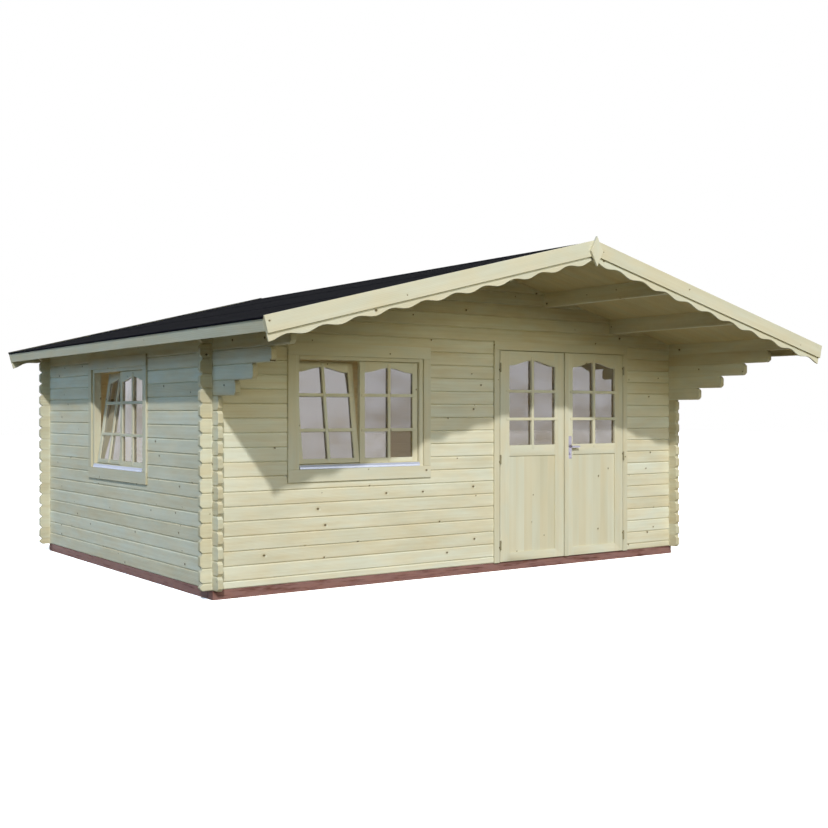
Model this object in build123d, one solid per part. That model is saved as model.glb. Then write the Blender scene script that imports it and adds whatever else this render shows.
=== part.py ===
from build123d import *
import math
import os

# House: outer faces of the log walls, rows of logs and the corner joints
house_width = 5100.0
house_depth = 3900.0
wall_thickness = 44.0
log_pitch = 114.0
log_gap = 0.3
log_chamfer = 8.0
log_end_projection = 100.0
log_end_chamfer = 24.0
side_wall_row_count = 17
eave_log_height = 95.0
notch_clearance = 0.3
notch_depth_share = 0.25
half_row_share = 0.5
smallest_offcut = 30.0

# Stepped corbel logs that carry the canopy at both front corners
corbel_row_count = 4
first_corbel_reach = 386.0
corbel_step = 277.0

# Foundation beams, floor joists and floor
foundation_height = 75.0
foundation_width = 95.0
foundation_inset = 5.0
joist_count = 7
joist_width = 45.0
floor_thickness = 19.0
floor_clearance = 1.0

# Roof: pitch in degrees, reach past the walls and the layers of the slopes
roof_pitch_degrees = 14.08
canopy_reach = 1510.0
back_overhang = 185.0
side_overhang = 355.0
roof_board_thickness = 19.0
felt_thickness = 4.0
felt_drip = 10.0
barge_lip = 8.0
purlin_width = 70.0
purlin_depth = 124.0
purlin_place_shares = (1 / 3, 2 / 3)

# Gable trim: plain barge boards, scalloped boards behind them and apex diamonds
barge_depth = 118.0
barge_thickness = 18.0
scallop_thickness = 16.0
scallop_drop = 55.0
scallop_height = 26.0
scallop_length = 278.0
scallop_step_count = 4
left_eave_board_depth = 92.0
right_eave_board_depth = 72.0
eave_board_thickness = 18.0
diamond_height = 240.0
diamond_width = 130.0
diamond_thickness = 20.0
front_diamond_rise = 30.0
back_diamond_drop = 15.0

# Window unit: a cut-out of whole log rows, frame, flat trims and two sashes
window_row_count = 9
window_base_row_count = 7
window_cutout_width = 1310.0
front_window_x = -1202.5
side_window_setback = 1965.0
window_fit_gap = 1.0
window_frame_depth = 68.0
window_jamb_inner_width = 1180.0
window_sill_height = 82.0
window_head_height = 97.0
window_trim_width = 73.0
window_trim_lap = 45.0
window_bottom_trim_drop = 57.0
window_bottom_trim_height = 102.0
window_top_trim_rise = 34.0
window_top_trim_height = 100.0
drip_strip_height = 24.0
drip_strip_depth = 12.0
drip_strip_base = 46.0
trim_thickness = 18.0
trim_gap = 0.3

# Window sash: bottom-hung, with a pane under a curved head
sash_thickness = 38.0
sash_setback = 27.0
sash_gap = 2.0
sash_stile = 50.0
sash_bottom_rail = 40.0
sash_top_rail = 50.0
sash_tilt_degrees = 8.0
pane_head_rise = 42.0
pane_head_step_count = 6
pane_thickness = 6.0
pane_setback = 14.0
pane_groove = 8.0
pane_clearance = 0.3

# Doorway: cut-out of whole rows down to the foundation, jambs, stops and trims
door_centre_x = 1050.0
door_cutout_width = 1640.0
door_fit_gap = 1.0
door_jamb_width = 36.0
door_head_height = 74.0
door_stop_width = 16.0
door_stop_depth = 18.0
door_trim_width = 59.0
door_trim_lap = 23.0
door_head_trim_height = 80.0
door_head_trim_rise = 6.0
threshold_height = 26.0

# Door leaves: stiles and rails, pane with a curved head above a flat panel
leaf_clearance = 6.0
leaf_thickness = 38.0
leaf_stile = 108.0
leaf_top_rail = 80.0
leaf_bottom_rail = 78.0
leaf_mid_rail = 98.0
leaf_mid_rail_height = 1035.0
leaf_pane_rise = 53.0
leaf_pane_setback = 23.0
panel_thickness = 18.0
panel_groove = 10.0
cover_strip_width = 45.0
cover_strip_thickness = 12.0

# Barrel hinges of the leaves, screwed in by a short neck on each half
hinge_place_shares = (0.08, 0.485, 0.92)
hinge_half_height = 42.0
hinge_radius = 8.0
hinge_pin_radius = 4.0
hinge_pin_clearance = 0.3
hinge_gap = 0.4
hinge_neck_width = 12.0
hinge_neck_height = 16.0
hinge_pin_offset = 8.0
rod_side_count = 12

# Lever handle on the right leaf
handle_height = 1109.0
handle_plate_width = 42.0
handle_plate_height = 212.0
handle_plate_drop = 113.0
handle_plate_thickness = 4.0
handle_from_edge = 69.0
spindle_radius = 5.0
spindle_clearance = 1.0
neck_radius = 9.0
neck_length = 34.0
neck_gap = 0.5
lever_length = 104.0
lever_height = 18.0
lever_depth = 13.0
cylinder_drop = 70.0
cylinder_radius = 9.0
cylinder_reach = 8.0

# Cuts run past the faces they open by this much
overrun = 5.0

# Levels and planes worked out from the driving dimensions
half_width = house_width / 2
front_y = -(house_depth + back_overhang - canopy_reach) / 2
back_y = front_y + house_depth
inner_x = half_width - wall_thickness
log_half_pitch = log_pitch * half_row_share
log_notch = log_pitch * notch_depth_share
side_wall_top = foundation_height + side_wall_row_count * log_pitch
gable_base = foundation_height + log_half_pitch + side_wall_row_count * log_pitch
pitch_tan = math.tan(math.radians(roof_pitch_degrees))
pitch_sin = math.sin(math.radians(roof_pitch_degrees))
pitch_cos = math.cos(math.radians(roof_pitch_degrees))
ridge_underside = side_wall_top + eave_log_height + half_width * pitch_tan
barge_rise = roof_board_thickness + felt_thickness + barge_lip
eave_x = half_width + side_overhang
roof_front_y = front_y - canopy_reach
roof_back_y = back_y + back_overhang
deck_front_y = roof_front_y + barge_thickness + scallop_thickness
deck_back_y = roof_back_y - barge_thickness - scallop_thickness
deck_depth = felt_thickness + barge_lip
eave_along = (eave_x + deck_depth * pitch_sin) / pitch_cos


def roof_height(x, rise=0.0):
    """Height of the roof slope at x, a rise above the boards' underside measured square to it."""
    return ridge_underside - abs(x) * pitch_tan + rise / pitch_cos


def block(x_low, x_high, y_low, y_high, z_low, z_high):
    """Box between two corners."""
    shape = Box(x_high - x_low, y_high - y_low, z_high - z_low, align=(Align.MIN, Align.MIN, Align.MIN))
    return Pos(x_low, y_low, z_low) * shape


def prism_along_y(points, y_low, y_high):
    """Outline of (x, z) points drawn out along Y."""
    outline = Polyline(*[(x, y_low, z) for x, z in points], close=True)
    return extrude(make_face(outline), amount=y_high - y_low, dir=(0, 1, 0))


def prism_along_x(points, x_low, x_high):
    """Outline of (y, z) points drawn out along X."""
    outline = Polyline(*[(x_low, y, z) for y, z in points], close=True)
    return extrude(make_face(outline), amount=x_high - x_low, dir=(1, 0, 0))


def log_section(outer, inner, z_low, z_high):
    """Log section, across the wall and up, with chamfers that make vees on the wall's outer face."""
    bottom = z_low + log_gap / 2
    top = z_high - log_gap / 2
    edge = outer + math.copysign(log_chamfer, inner - outer)
    return [(inner, bottom), (edge, bottom), (outer, bottom + log_chamfer),
            (outer, top - log_chamfer), (edge, top), (inner, top)]


def pieces_of(shape):
    """Solids of a shape, without offcuts too small to keep."""
    return [solid for solid in shape.solids() if solid.volume > smallest_offcut ** 2 * wall_thickness]


def save(node, solids):
    """Write one node."""
    export_step(Compound(list(solids)), os.path.join("parts", node + ".step"))


def notch(x_low, x_high, y_low, y_high, z_low, z_high):
    """Corner notch that lets a crossing log through, with its clearance."""
    return block(x_low - notch_clearance, x_high + notch_clearance,
                 y_low - notch_clearance, y_high + notch_clearance, z_low, z_high)


def corner_notches(z_low, z_high, at_bottom, at_top):
    """Notches of one log at all four corners of the house."""
    cuts = []
    spans = []
    if at_bottom:
        spans.append((z_low - overrun, z_low + log_notch + log_gap / 2))
    if at_top:
        spans.append((z_high - log_notch - log_gap / 2, z_high + overrun))
    for side in (-1, 1):
        x_low, x_high = sorted((side * inner_x, side * half_width))
        for y_low in (front_y, back_y - wall_thickness):
            for low, high in spans:
                cuts.append(notch(x_low, x_high, y_low, y_low + wall_thickness, low, high))
    return cuts


def cross_rows():
    """Rows of the front and back walls below the gables: bottom, top and whether notched below."""
    rows = [(foundation_height, foundation_height + log_half_pitch, False)]
    for row in range(side_wall_row_count):
        low = foundation_height + log_half_pitch + row * log_pitch
        rows.append((low, low + log_pitch, True))
    return rows


def slanted_ends(log, across):
    """Log with the upper and lower edges of both ends cut off at a slant."""
    return chamfer(log.edges().filter_by(across), length=log_end_chamfer)


def cross_wall(outer, inner):
    """Full-length logs of a front or back wall, notched at the corners."""
    reach = half_width + log_end_projection
    logs = []
    for low, high, notched_below in cross_rows():
        section = log_section(outer, inner, low, high)
        log = slanted_ends(prism_along_x(section, -reach, reach), Axis.Y)
        logs.append(log - corner_notches(low, high, notched_below, True))
    return logs


def side_wall(side):
    """Logs of a side wall, the top ones stepped out in front as corbels, and its bevelled eave log."""
    outer = side * half_width
    inner = side * inner_x
    back = back_y + log_end_projection
    logs = []
    for row in range(side_wall_row_count):
        low = foundation_height + row * log_pitch
        step = row - (side_wall_row_count - corbel_row_count)
        front = front_y - log_end_projection
        if step >= 0:
            front = front_y - first_corbel_reach - step * corbel_step
        section = log_section(outer, inner, low, low + log_pitch)
        log = slanted_ends(prism_along_y(section, front, back), Axis.X)
        logs.append(log - corner_notches(low, low + log_pitch, True, True))
    bottom = side_wall_top + log_gap / 2
    section = [(inner, bottom), (outer - side * log_chamfer, bottom), (outer, bottom + log_chamfer),
               (outer, roof_height(outer)), (inner, roof_height(inner))]
    eave_log = prism_along_y(section, deck_front_y, deck_back_y)
    logs.append(eave_log - corner_notches(side_wall_top, side_wall_top, True, False))
    return logs


def gable(outer, inner, purlins):
    """Gable logs between the side walls, cut to the roof slope and round the purlins."""
    rows = math.ceil((ridge_underside - gable_base) / log_pitch)
    under_roof = prism_along_y(
        [(-inner_x, gable_base), (inner_x, gable_base), (inner_x, roof_height(inner_x)),
         (0, ridge_underside), (-inner_x, roof_height(inner_x))],
        min(outer, inner) - overrun, max(outer, inner) + overrun)
    logs = []
    for row in range(rows):
        low = gable_base + row * log_pitch
        log = prism_along_x(log_section(outer, inner, low, low + log_pitch), -inner_x, inner_x)
        logs.extend(pieces_of((log & under_roof) - purlins))
    return logs


def cut_rows(logs, opening):
    """Logs with an opening cut through them."""
    cut = []
    for log in logs:
        cut.extend(pieces_of(log - opening))
    return cut


def pane_head(x_low, x_high, z_shoulder, rise):
    """Cosine curve of a pane's head, from its right shoulder over the peak to its left one."""
    points = []
    for step in range(2 * pane_head_step_count + 1):
        share = step / (2 * pane_head_step_count)
        lift = rise * (1 - math.cos(2 * math.pi * share)) / 2
        points.append((x_high + (x_low - x_high) * share, z_shoulder + lift))
    return points


def pane_opening(x_low, x_high, z_low, z_shoulder, rise, y_low, y_high):
    """Cut for a pane with straight sides and a curved head."""
    points = [(x_low, z_low), (x_high, z_low)] + pane_head(x_low, x_high, z_shoulder, rise)
    return prism_along_y(points, y_low - overrun, y_high + overrun)


def sash(x_low, x_high):
    """One closed window sash and its pane, in the frame of its window."""
    z_low = window_sill_height
    z_high = window_row_count * log_pitch - window_head_height - sash_gap
    y_low = sash_setback
    y_high = y_low + sash_thickness
    left = x_low + sash_stile
    right = x_high - sash_stile
    bottom = z_low + sash_bottom_rail
    peak = z_high - sash_top_rail
    frame = block(x_low, x_high, y_low, y_high, z_low, z_high)
    frame -= pane_opening(left, right, bottom, peak - pane_head_rise, pane_head_rise, y_low, y_high)
    pane_y = y_low + pane_setback
    fit = pane_clearance
    frame -= block(left - pane_groove, right + pane_groove, pane_y, pane_y + pane_thickness,
                   bottom - pane_groove, peak + pane_groove)
    reach = pane_groove - fit
    pane = block(left - reach, right + reach, pane_y + fit, pane_y + pane_thickness - fit,
                 bottom - reach, peak + reach)
    return frame, pane


def tilted_in(shape):
    """Shape of a sash swung in at the top about its inner bottom edge, where it sits on the sill."""
    pivot = Pos(0, sash_setback + sash_thickness, window_sill_height)
    return pivot * Rot(-sash_tilt_degrees, 0, 0) * pivot.inverse() * shape


def window_unit():
    """Frame, trims, drip strip, sashes and panes of a window, seen from outside with x to the right."""
    height = window_row_count * log_pitch
    outer = window_cutout_width / 2 - window_fit_gap
    inner = window_jamb_inner_width / 2
    fit = window_fit_gap
    frame = []
    for side in (-1, 1):
        low, high = sorted((side * outer, side * inner))
        frame.append(block(low, high, 0, window_frame_depth, fit, height - fit))
    reach = inner - trim_gap
    frame.append(block(-reach, reach, 0, window_frame_depth, fit, window_sill_height))
    frame.append(block(-reach, reach, 0, window_frame_depth, height - window_head_height, height - fit))

    trim = []
    edge = window_cutout_width / 2 + window_trim_lap
    low_board = -window_bottom_trim_drop
    high_board = height + window_top_trim_rise
    for y_low, side_width, bottom_height, top_height in (
            (-trim_thickness, window_trim_width, window_bottom_trim_height, window_top_trim_height),
            (wall_thickness, window_trim_lap, window_bottom_trim_drop, window_top_trim_rise)):
        y_high = y_low + trim_thickness
        bottom_top = low_board + bottom_height
        top_bottom = high_board - top_height
        trim.append(block(-edge, edge, y_low, y_high, low_board, bottom_top))
        trim.append(block(-edge, edge, y_low, y_high, top_bottom, high_board))
        for side in (-1, 1):
            low, high = sorted((side * edge, side * (edge - side_width)))
            trim.append(block(low, high, y_low, y_high, bottom_top + trim_gap, top_bottom - trim_gap))

    strip_top = drip_strip_base + drip_strip_height
    strip = prism_along_x([(0, drip_strip_base), (-drip_strip_depth, drip_strip_base),
                           (-drip_strip_depth, (drip_strip_base + strip_top) / 2), (0, strip_top)],
                          -reach, reach)

    left_frame, left_pane = sash(-inner + sash_gap, -sash_gap / 2)
    right_frame, right_pane = sash(sash_gap / 2, inner - sash_gap)
    sashes = [tilted_in(left_frame), right_frame]
    panes = [tilted_in(left_pane), right_pane]
    return {"frame": frame, "trim": trim, "drip_strip": [strip], "sashes": sashes, "glass": panes}


def cutout(width, height):
    """Opening of a unit, in the unit's own frame."""
    return block(-width / 2, width / 2, -overrun, wall_thickness + overrun, 0, height)


def gable_point(side, along, depth):
    """Point of a gable board, along the slope from the apex and square down from the barge line."""
    apex = ridge_underside + barge_rise / pitch_cos
    return (side * (along * pitch_cos - depth * pitch_sin), apex - along * pitch_sin - depth * pitch_cos)


def barge_board(side, y_low):
    """Plain board along one gable slope, plumb at the apex and square at the eave."""
    points = [gable_point(side, 0, 0), gable_point(side, eave_along, 0),
              gable_point(side, eave_along, barge_depth),
              gable_point(side, barge_depth * pitch_tan, barge_depth)]
    return prism_along_y(points, y_low, y_low + barge_thickness)


def scalloped_board(side, y_low):
    """Board behind a barge board with a waved lower edge, shallow at the apex and deep at the eave."""
    middle = barge_depth + scallop_drop - scallop_height / 2
    start = (middle - scallop_height / 2) * pitch_tan
    half_waves = 2 * math.floor((eave_along - start) / scallop_length) + 1
    steps = half_waves * scallop_step_count
    points = [gable_point(side, eave_along, deck_depth),
              gable_point(side, deck_depth * pitch_tan, deck_depth)]
    for step in range(steps + 1):
        wave = math.cos(math.pi * step / scallop_step_count)
        along = start + (eave_along - start) * step / steps
        points.append(gable_point(side, along, middle - scallop_height / 2 * wave))
    return prism_along_y(points, y_low, y_low + scallop_thickness)


def board_layer(side):
    """Roof boards of one slope, cut square at the eave board."""
    end = eave_along - eave_board_thickness
    points = [(0, roof_height(0)), gable_point(side, end, deck_depth + roof_board_thickness),
              gable_point(side, end, deck_depth), (0, roof_height(0, roof_board_thickness))]
    return prism_along_y(points, deck_front_y, deck_back_y)


def eave_board(side, depth):
    """Board along one eave, square to the slope."""
    inner = eave_along - eave_board_thickness
    low = deck_depth + depth
    points = [gable_point(side, inner, deck_depth), gable_point(side, eave_along, deck_depth),
              gable_point(side, eave_along, low), gable_point(side, inner, low)]
    return prism_along_y(points, deck_front_y, deck_back_y)


def felt_layer(side, y_low, y_high):
    """Felt over one slope, its lower edge turned down over the eave board."""
    low = roof_board_thickness
    high = low + felt_thickness
    inner = side * eave_x
    outer = side * (eave_x + felt_thickness)
    drip = roof_height(inner, low) - felt_drip
    points = [(0, roof_height(0, low)), (inner, roof_height(inner, low)), (inner, drip), (outer, drip),
              (outer, roof_height(outer, high)), (0, roof_height(0, high))]
    return prism_along_y(points, y_low, y_high)


def purlin(x_middle):
    """Purlin with its top bevelled to the roof."""
    low = x_middle - purlin_width / 2
    high = x_middle + purlin_width / 2
    bottom = roof_height(x_middle) - purlin_depth
    points = [(low, bottom), (high, bottom), (high, roof_height(high)), (low, roof_height(low))]
    if low < 0 < high:
        points.insert(-1, (0, ridge_underside))
    return prism_along_y(points, deck_front_y, deck_back_y)


def diamond(y_low, rise):
    """Lozenge that covers the joint of two barge boards, its tip a rise above them."""
    top = roof_height(0, barge_rise) + rise
    middle = top - diamond_height / 2
    points = [(0, top), (diamond_width / 2, middle), (0, top - diamond_height), (-diamond_width / 2, middle)]
    return prism_along_y(points, y_low, y_low + diamond_thickness)


def build_foundation():
    """Beams under the walls, joists between them and the floor."""
    outer_x = half_width - foundation_inset
    front = front_y + foundation_inset
    back = back_y - foundation_inset
    beam_x = outer_x - foundation_width
    beam_front = front + foundation_width + log_gap
    beam_back = back - foundation_width - log_gap
    beams = [
        block(-outer_x, outer_x, front, front + foundation_width, 0, foundation_height),
        block(-outer_x, outer_x, back - foundation_width, back, 0, foundation_height),
        block(-outer_x, -beam_x, beam_front, beam_back, 0, foundation_height),
        block(beam_x, outer_x, beam_front, beam_back, 0, foundation_height),
    ]
    save("foundation_beams", beams)
    joists = []
    for index in range(joist_count):
        middle = beam_x * (2 * (index + 1) / (joist_count + 1) - 1)
        joists.append(block(middle - joist_width / 2, middle + joist_width / 2, beam_front, beam_back,
                            0, foundation_height))
    save("floor_joists", joists)
    x = inner_x - floor_clearance
    inset = wall_thickness + floor_clearance
    save("floor", [block(-x, x, front_y + inset, back_y - inset,
                         foundation_height, foundation_height + floor_thickness)])


def build_walls(purlins):
    """Four log walls and two gables, with the openings for door and windows."""
    height = window_row_count * log_pitch
    front_base = foundation_height + log_half_pitch + window_base_row_count * log_pitch
    window_cut = Pos(front_window_x, front_y, front_base) * cutout(window_cutout_width, height)
    side_base = foundation_height + window_base_row_count * log_pitch
    side_cut = side_window_place(side_base) * cutout(window_cutout_width, height)
    door_cut = Pos(door_centre_x, front_y, foundation_height) * cutout(
        door_cutout_width, gable_base - foundation_height)

    front = cut_rows(cut_rows(cross_wall(front_y, front_y + wall_thickness), window_cut), door_cut)
    save("front_wall_logs_left", [log for log in front if log.center().X < door_centre_x])
    save("front_wall_logs_right", [log for log in front if log.center().X > door_centre_x])
    back = cross_wall(back_y, back_y - wall_thickness)
    save("back_wall_logs", [log.solid() for log in back])
    save("left_wall_logs", cut_rows(side_wall(-1), side_cut))
    save("right_wall_logs", [log.solid() for log in side_wall(1)])
    save("front_gable_logs", gable(front_y, front_y + wall_thickness, purlins))
    save("back_gable_logs", gable(back_y, back_y - wall_thickness, purlins))


def side_window_place(base):
    """Place of a window unit in the left wall, turned to face out."""
    return Pos(-half_width, front_y + side_window_setback, base) * Rot(0, 0, -90)


def build_roof():
    """Purlins, boards, felt, eave boards and the gable trim."""
    ridge = purlin(0.0)
    sides = [purlin(side * share * half_width) for side in (-1, 1) for share in purlin_place_shares]
    save("ridge_purlin", [ridge.solid()])
    save("side_purlins", [item.solid() for item in sides])
    felt_front = roof_front_y + barge_thickness
    felt_back = roof_back_y - barge_thickness
    eaves = []
    for name, side, depth in (("left", -1, left_eave_board_depth), ("right", 1, right_eave_board_depth)):
        save("roof_boards_" + name, [board_layer(side).solid()])
        save("roof_felt_" + name, [felt_layer(side, felt_front, felt_back).solid()])
        eaves.append(eave_board(side, depth).solid())
    save("eave_boards", eaves)
    for name, barge_y, scallop_y, diamond_y, rise in (
            ("front", roof_front_y, roof_front_y + barge_thickness,
             roof_front_y - diamond_thickness, front_diamond_rise),
            ("back", roof_back_y - barge_thickness, deck_back_y, roof_back_y, -back_diamond_drop)):
        for hand, side in (("left", -1), ("right", 1)):
            save(f"{name}_barge_board_{hand}", [barge_board(side, barge_y).solid()])
            save(f"{name}_scalloped_board_{hand}", [scalloped_board(side, scallop_y).solid()])
        save(name + "_apex_diamond", [diamond(diamond_y, rise).solid()])
    return [ridge] + sides


def build_windows():
    """Front and left window units in their cut-outs."""
    front_base = foundation_height + log_half_pitch + window_base_row_count * log_pitch
    side_base = foundation_height + window_base_row_count * log_pitch
    places = {"front_window_": Pos(front_window_x, front_y, front_base),
              "left_window_": side_window_place(side_base)}
    unit = window_unit()
    for name, place in places.items():
        for piece, shapes in unit.items():
            save(name + piece, [(place * shape).solid() for shape in shapes])


def build_doorway():
    """Jambs, head, stops, threshold and flat trims round the doorway."""
    outer = door_cutout_width / 2 - door_fit_gap
    inner = outer - door_jamb_width
    head_low = gable_base - door_head_height
    head_high = gable_base - door_fit_gap
    y_low = front_y
    y_high = front_y + wall_thickness
    x = door_centre_x
    frame = [
        block(x - outer, x - inner, y_low, y_high, foundation_height, head_high),
        block(x + inner, x + outer, y_low, y_high, foundation_height, head_high),
        block(x - inner + trim_gap, x + inner - trim_gap, y_low, y_high, head_low, head_high),
    ]
    save("door_frame", frame)
    stop_y = y_high - door_stop_depth
    stop_top = head_low - door_stop_width - trim_gap
    threshold_top = foundation_height + threshold_height
    stops = [
        block(x - inner, x - inner + door_stop_width, stop_y, y_high, threshold_top, stop_top),
        block(x + inner - door_stop_width, x + inner, stop_y, y_high, threshold_top, stop_top),
        block(x - inner, x + inner, stop_y, y_high, head_low - door_stop_width, head_low),
    ]
    save("door_stops", stops)
    save("door_threshold", [block(x - inner, x + inner, stop_y, y_high, foundation_height, threshold_top)])
    edge = door_cutout_width / 2 + door_trim_lap
    trim_top = gable_base + door_head_trim_rise
    head_trim_low = trim_top - door_head_trim_height
    trims = []
    for trim_y in (front_y - trim_thickness, y_high):
        trim_end = trim_y + trim_thickness
        trim_base = foundation_height if trim_y < front_y else foundation_height + floor_thickness
        for side in (-1, 1):
            low, high = sorted((x + side * edge, x + side * (edge - door_trim_width)))
            trims.append(block(low, high, trim_y, trim_end, trim_base, head_trim_low - trim_gap))
        trims.append(block(x - edge, x + edge, trim_y, trim_end, head_trim_low, trim_top))
    save("door_trim", trims)


def leaf_edges():
    """Both leaves' edges in x and their bottom and top."""
    inner = door_cutout_width / 2 - door_fit_gap - door_jamb_width
    bottom = foundation_height + leaf_clearance
    top = gable_base - door_head_height - leaf_clearance
    left = (door_centre_x - inner + leaf_clearance, door_centre_x - leaf_clearance / 2)
    right = (door_centre_x + leaf_clearance / 2, door_centre_x + inner - leaf_clearance)
    return left, right, bottom, top


def leaf_planes():
    """Outer and inner face of the closed leaves, flush with the trim outside."""
    outer = front_y - trim_thickness
    return outer, outer + leaf_thickness


def door_leaf(x_low, x_high, bottom, top):
    """Frame, panel and pane of one closed leaf."""
    y_low, y_high = leaf_planes()
    left = x_low + leaf_stile
    right = x_high - leaf_stile
    mid_top = leaf_mid_rail_height + leaf_mid_rail
    peak = top - leaf_top_rail
    panel_low = bottom + leaf_bottom_rail
    fit = pane_clearance
    frame = block(x_low, x_high, y_low, y_high, bottom, top)
    frame -= pane_opening(left, right, mid_top, peak - leaf_pane_rise, leaf_pane_rise, y_low, y_high)
    pane_y = y_low + leaf_pane_setback
    frame -= block(left - pane_groove, right + pane_groove, pane_y, pane_y + pane_thickness,
                   mid_top - pane_groove, peak + pane_groove)
    reach = pane_groove - fit
    pane = block(left - reach, right + reach, pane_y + fit, pane_y + pane_thickness - fit,
                 mid_top - reach, peak + reach)
    frame -= block(left, right, y_low - overrun, y_high + overrun, panel_low, leaf_mid_rail_height)
    panel_y = (y_low + y_high - panel_thickness) / 2
    frame -= block(left - panel_groove, right + panel_groove, panel_y, panel_y + panel_thickness,
                   panel_low - panel_groove, leaf_mid_rail_height + panel_groove)
    reach = panel_groove - fit
    panel = block(left - reach, right + reach, panel_y + fit, panel_y + panel_thickness - fit,
                  panel_low - reach, leaf_mid_rail_height + reach)
    return frame, panel, pane


def hinge_axis(side):
    """Plan position of a leaf's hinge pins, in front of the gap between trim and leaf."""
    inner = door_cutout_width / 2 - door_fit_gap - door_jamb_width
    return door_centre_x + side * (inner - leaf_clearance / 2), front_y - trim_thickness - hinge_pin_offset


def rod(radius, length):
    """Round rod along Z, faceted."""
    return extrude(RegularPolygon(radius, rod_side_count), amount=length)


def pin(radius, length):
    """Round pin along Z."""
    return Cylinder(radius, length, align=(Align.CENTER, Align.CENTER, Align.MIN))


def hinge_halves(side, z_middle):
    """Lower half with its pin on the trim, and upper half on the leaf."""
    x, y = hinge_axis(side)
    face, _ = leaf_planes()
    low = z_middle - hinge_half_height
    upper_low = z_middle + hinge_gap
    upper_height = hinge_half_height - hinge_gap
    bore_radius = (hinge_pin_radius + hinge_pin_clearance) / math.cos(math.pi / rod_side_count)
    necks = []
    for hand, z_low in ((side, low), (-side, upper_low)):
        x_low, x_high = sorted((x, x + hand * hinge_neck_width))
        z_neck = z_low + (hinge_half_height - hinge_neck_height) / 2
        necks.append(block(x_low, x_high, y, face, z_neck, z_neck + hinge_neck_height))
    lower = Pos(x, y, low) * rod(hinge_radius, hinge_half_height) + necks[0]
    lower += Pos(x, y, z_middle) * pin(hinge_pin_radius, hinge_half_height)
    upper = Pos(x, y, upper_low) * rod(hinge_radius, upper_height) + necks[1]
    upper -= Pos(x, y, upper_low) * rod(bore_radius, upper_height)
    return lower.solid(), upper.solid()


def round_bar(x, z, radius, y_low, y_high):
    """Rod along Y."""
    return Pos(x, y_low, z) * Rot(-90, 0, 0) * rod(radius, y_high - y_low)


def lever(x, y_low, y_high):
    """Flat lever with round ends, faceted, that points away from the meeting edge."""
    radius = lever_height / 2
    far_x = x + lever_length - lever_height
    points = []
    for step in range(rod_side_count // 2 + 1):
        angle = 2 * math.pi * step / rod_side_count
        points.append((far_x + radius * math.sin(angle), handle_height - radius * math.cos(angle)))
    points += [(x + far_x - px, 2 * handle_height - pz) for px, pz in points]
    return prism_along_y(points, y_low, y_high)


def build_handle(edge, leaf_frame):
    """Plates, key cylinder and turning lever of the right leaf; returns the drilled leaf."""
    x = edge + handle_from_edge
    y_low, y_high = leaf_planes()
    hole = round_bar(x, handle_height, spindle_radius + spindle_clearance,
                     y_low - neck_length, y_high + neck_length)
    plate_low = handle_height - handle_plate_drop
    plates = []
    cylinder_end = handle_plate_thickness + cylinder_reach
    for face, start, end in ((y_low - handle_plate_thickness, y_low - cylinder_end, y_low),
                             (y_high, y_high, y_high + cylinder_end)):
        plate = block(x - handle_plate_width / 2, x + handle_plate_width / 2, face,
                      face + handle_plate_thickness, plate_low, plate_low + handle_plate_height)
        plate += round_bar(x, handle_height - cylinder_drop, cylinder_radius, start, end)
        plates.append((plate - hole).solid())
    save("handle_plates", plates)
    outer_face = y_low - handle_plate_thickness - neck_gap
    inner_face = y_high + handle_plate_thickness + neck_gap
    handle = round_bar(x, handle_height, spindle_radius, outer_face - neck_length, inner_face + neck_length)
    handle += round_bar(x, handle_height, neck_radius, outer_face - neck_length, outer_face)
    handle += round_bar(x, handle_height, neck_radius, inner_face, inner_face + neck_length)
    handle += lever(x, outer_face - neck_length - lever_depth / 2, outer_face - neck_length + lever_depth / 2)
    handle += lever(x, inner_face + neck_length - lever_depth / 2, inner_face + neck_length + lever_depth / 2)
    save("door_lever", [handle.solid()])
    return leaf_frame - hole


def build_door():
    """Two leaves with their hinges, the cover strip and the handle."""
    left, right, bottom, top = leaf_edges()
    lower_hinges = []
    for name, side, (x_low, x_high) in (("left", -1, left), ("right", 1, right)):
        frame, panel, pane = door_leaf(x_low, x_high, bottom, top)
        if side > 0:
            frame = build_handle(x_low, frame)
        halves = [hinge_halves(side, bottom + share * (top - bottom)) for share in hinge_place_shares]
        lower_hinges.extend(lower for lower, _ in halves)
        save(name + "_door_frame", [frame.solid()])
        save(name + "_door_panel", [panel.solid()])
        save(name + "_door_glass", [pane.solid()])
        save(name + "_door_hinges", [upper for _, upper in halves])
    save("doorway_hinges", lower_hinges)
    y_low, _ = leaf_planes()
    strip = block(right[0], right[0] + cover_strip_width, y_low - cover_strip_thickness, y_low, bottom, top)
    save("door_cover_strip", [strip])


os.makedirs("parts", exist_ok=True)
all_purlins = build_roof()
build_foundation()
build_walls(all_purlins)
build_windows()
build_doorway()
build_door()
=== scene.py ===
import logging
import math
import random
from collections.abc import Callable, Iterator, Sequence
from contextlib import contextmanager
from dataclasses import dataclass
from enum import Enum

import bpy
import numpy as np
from mathutils import Matrix, Vector


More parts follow.
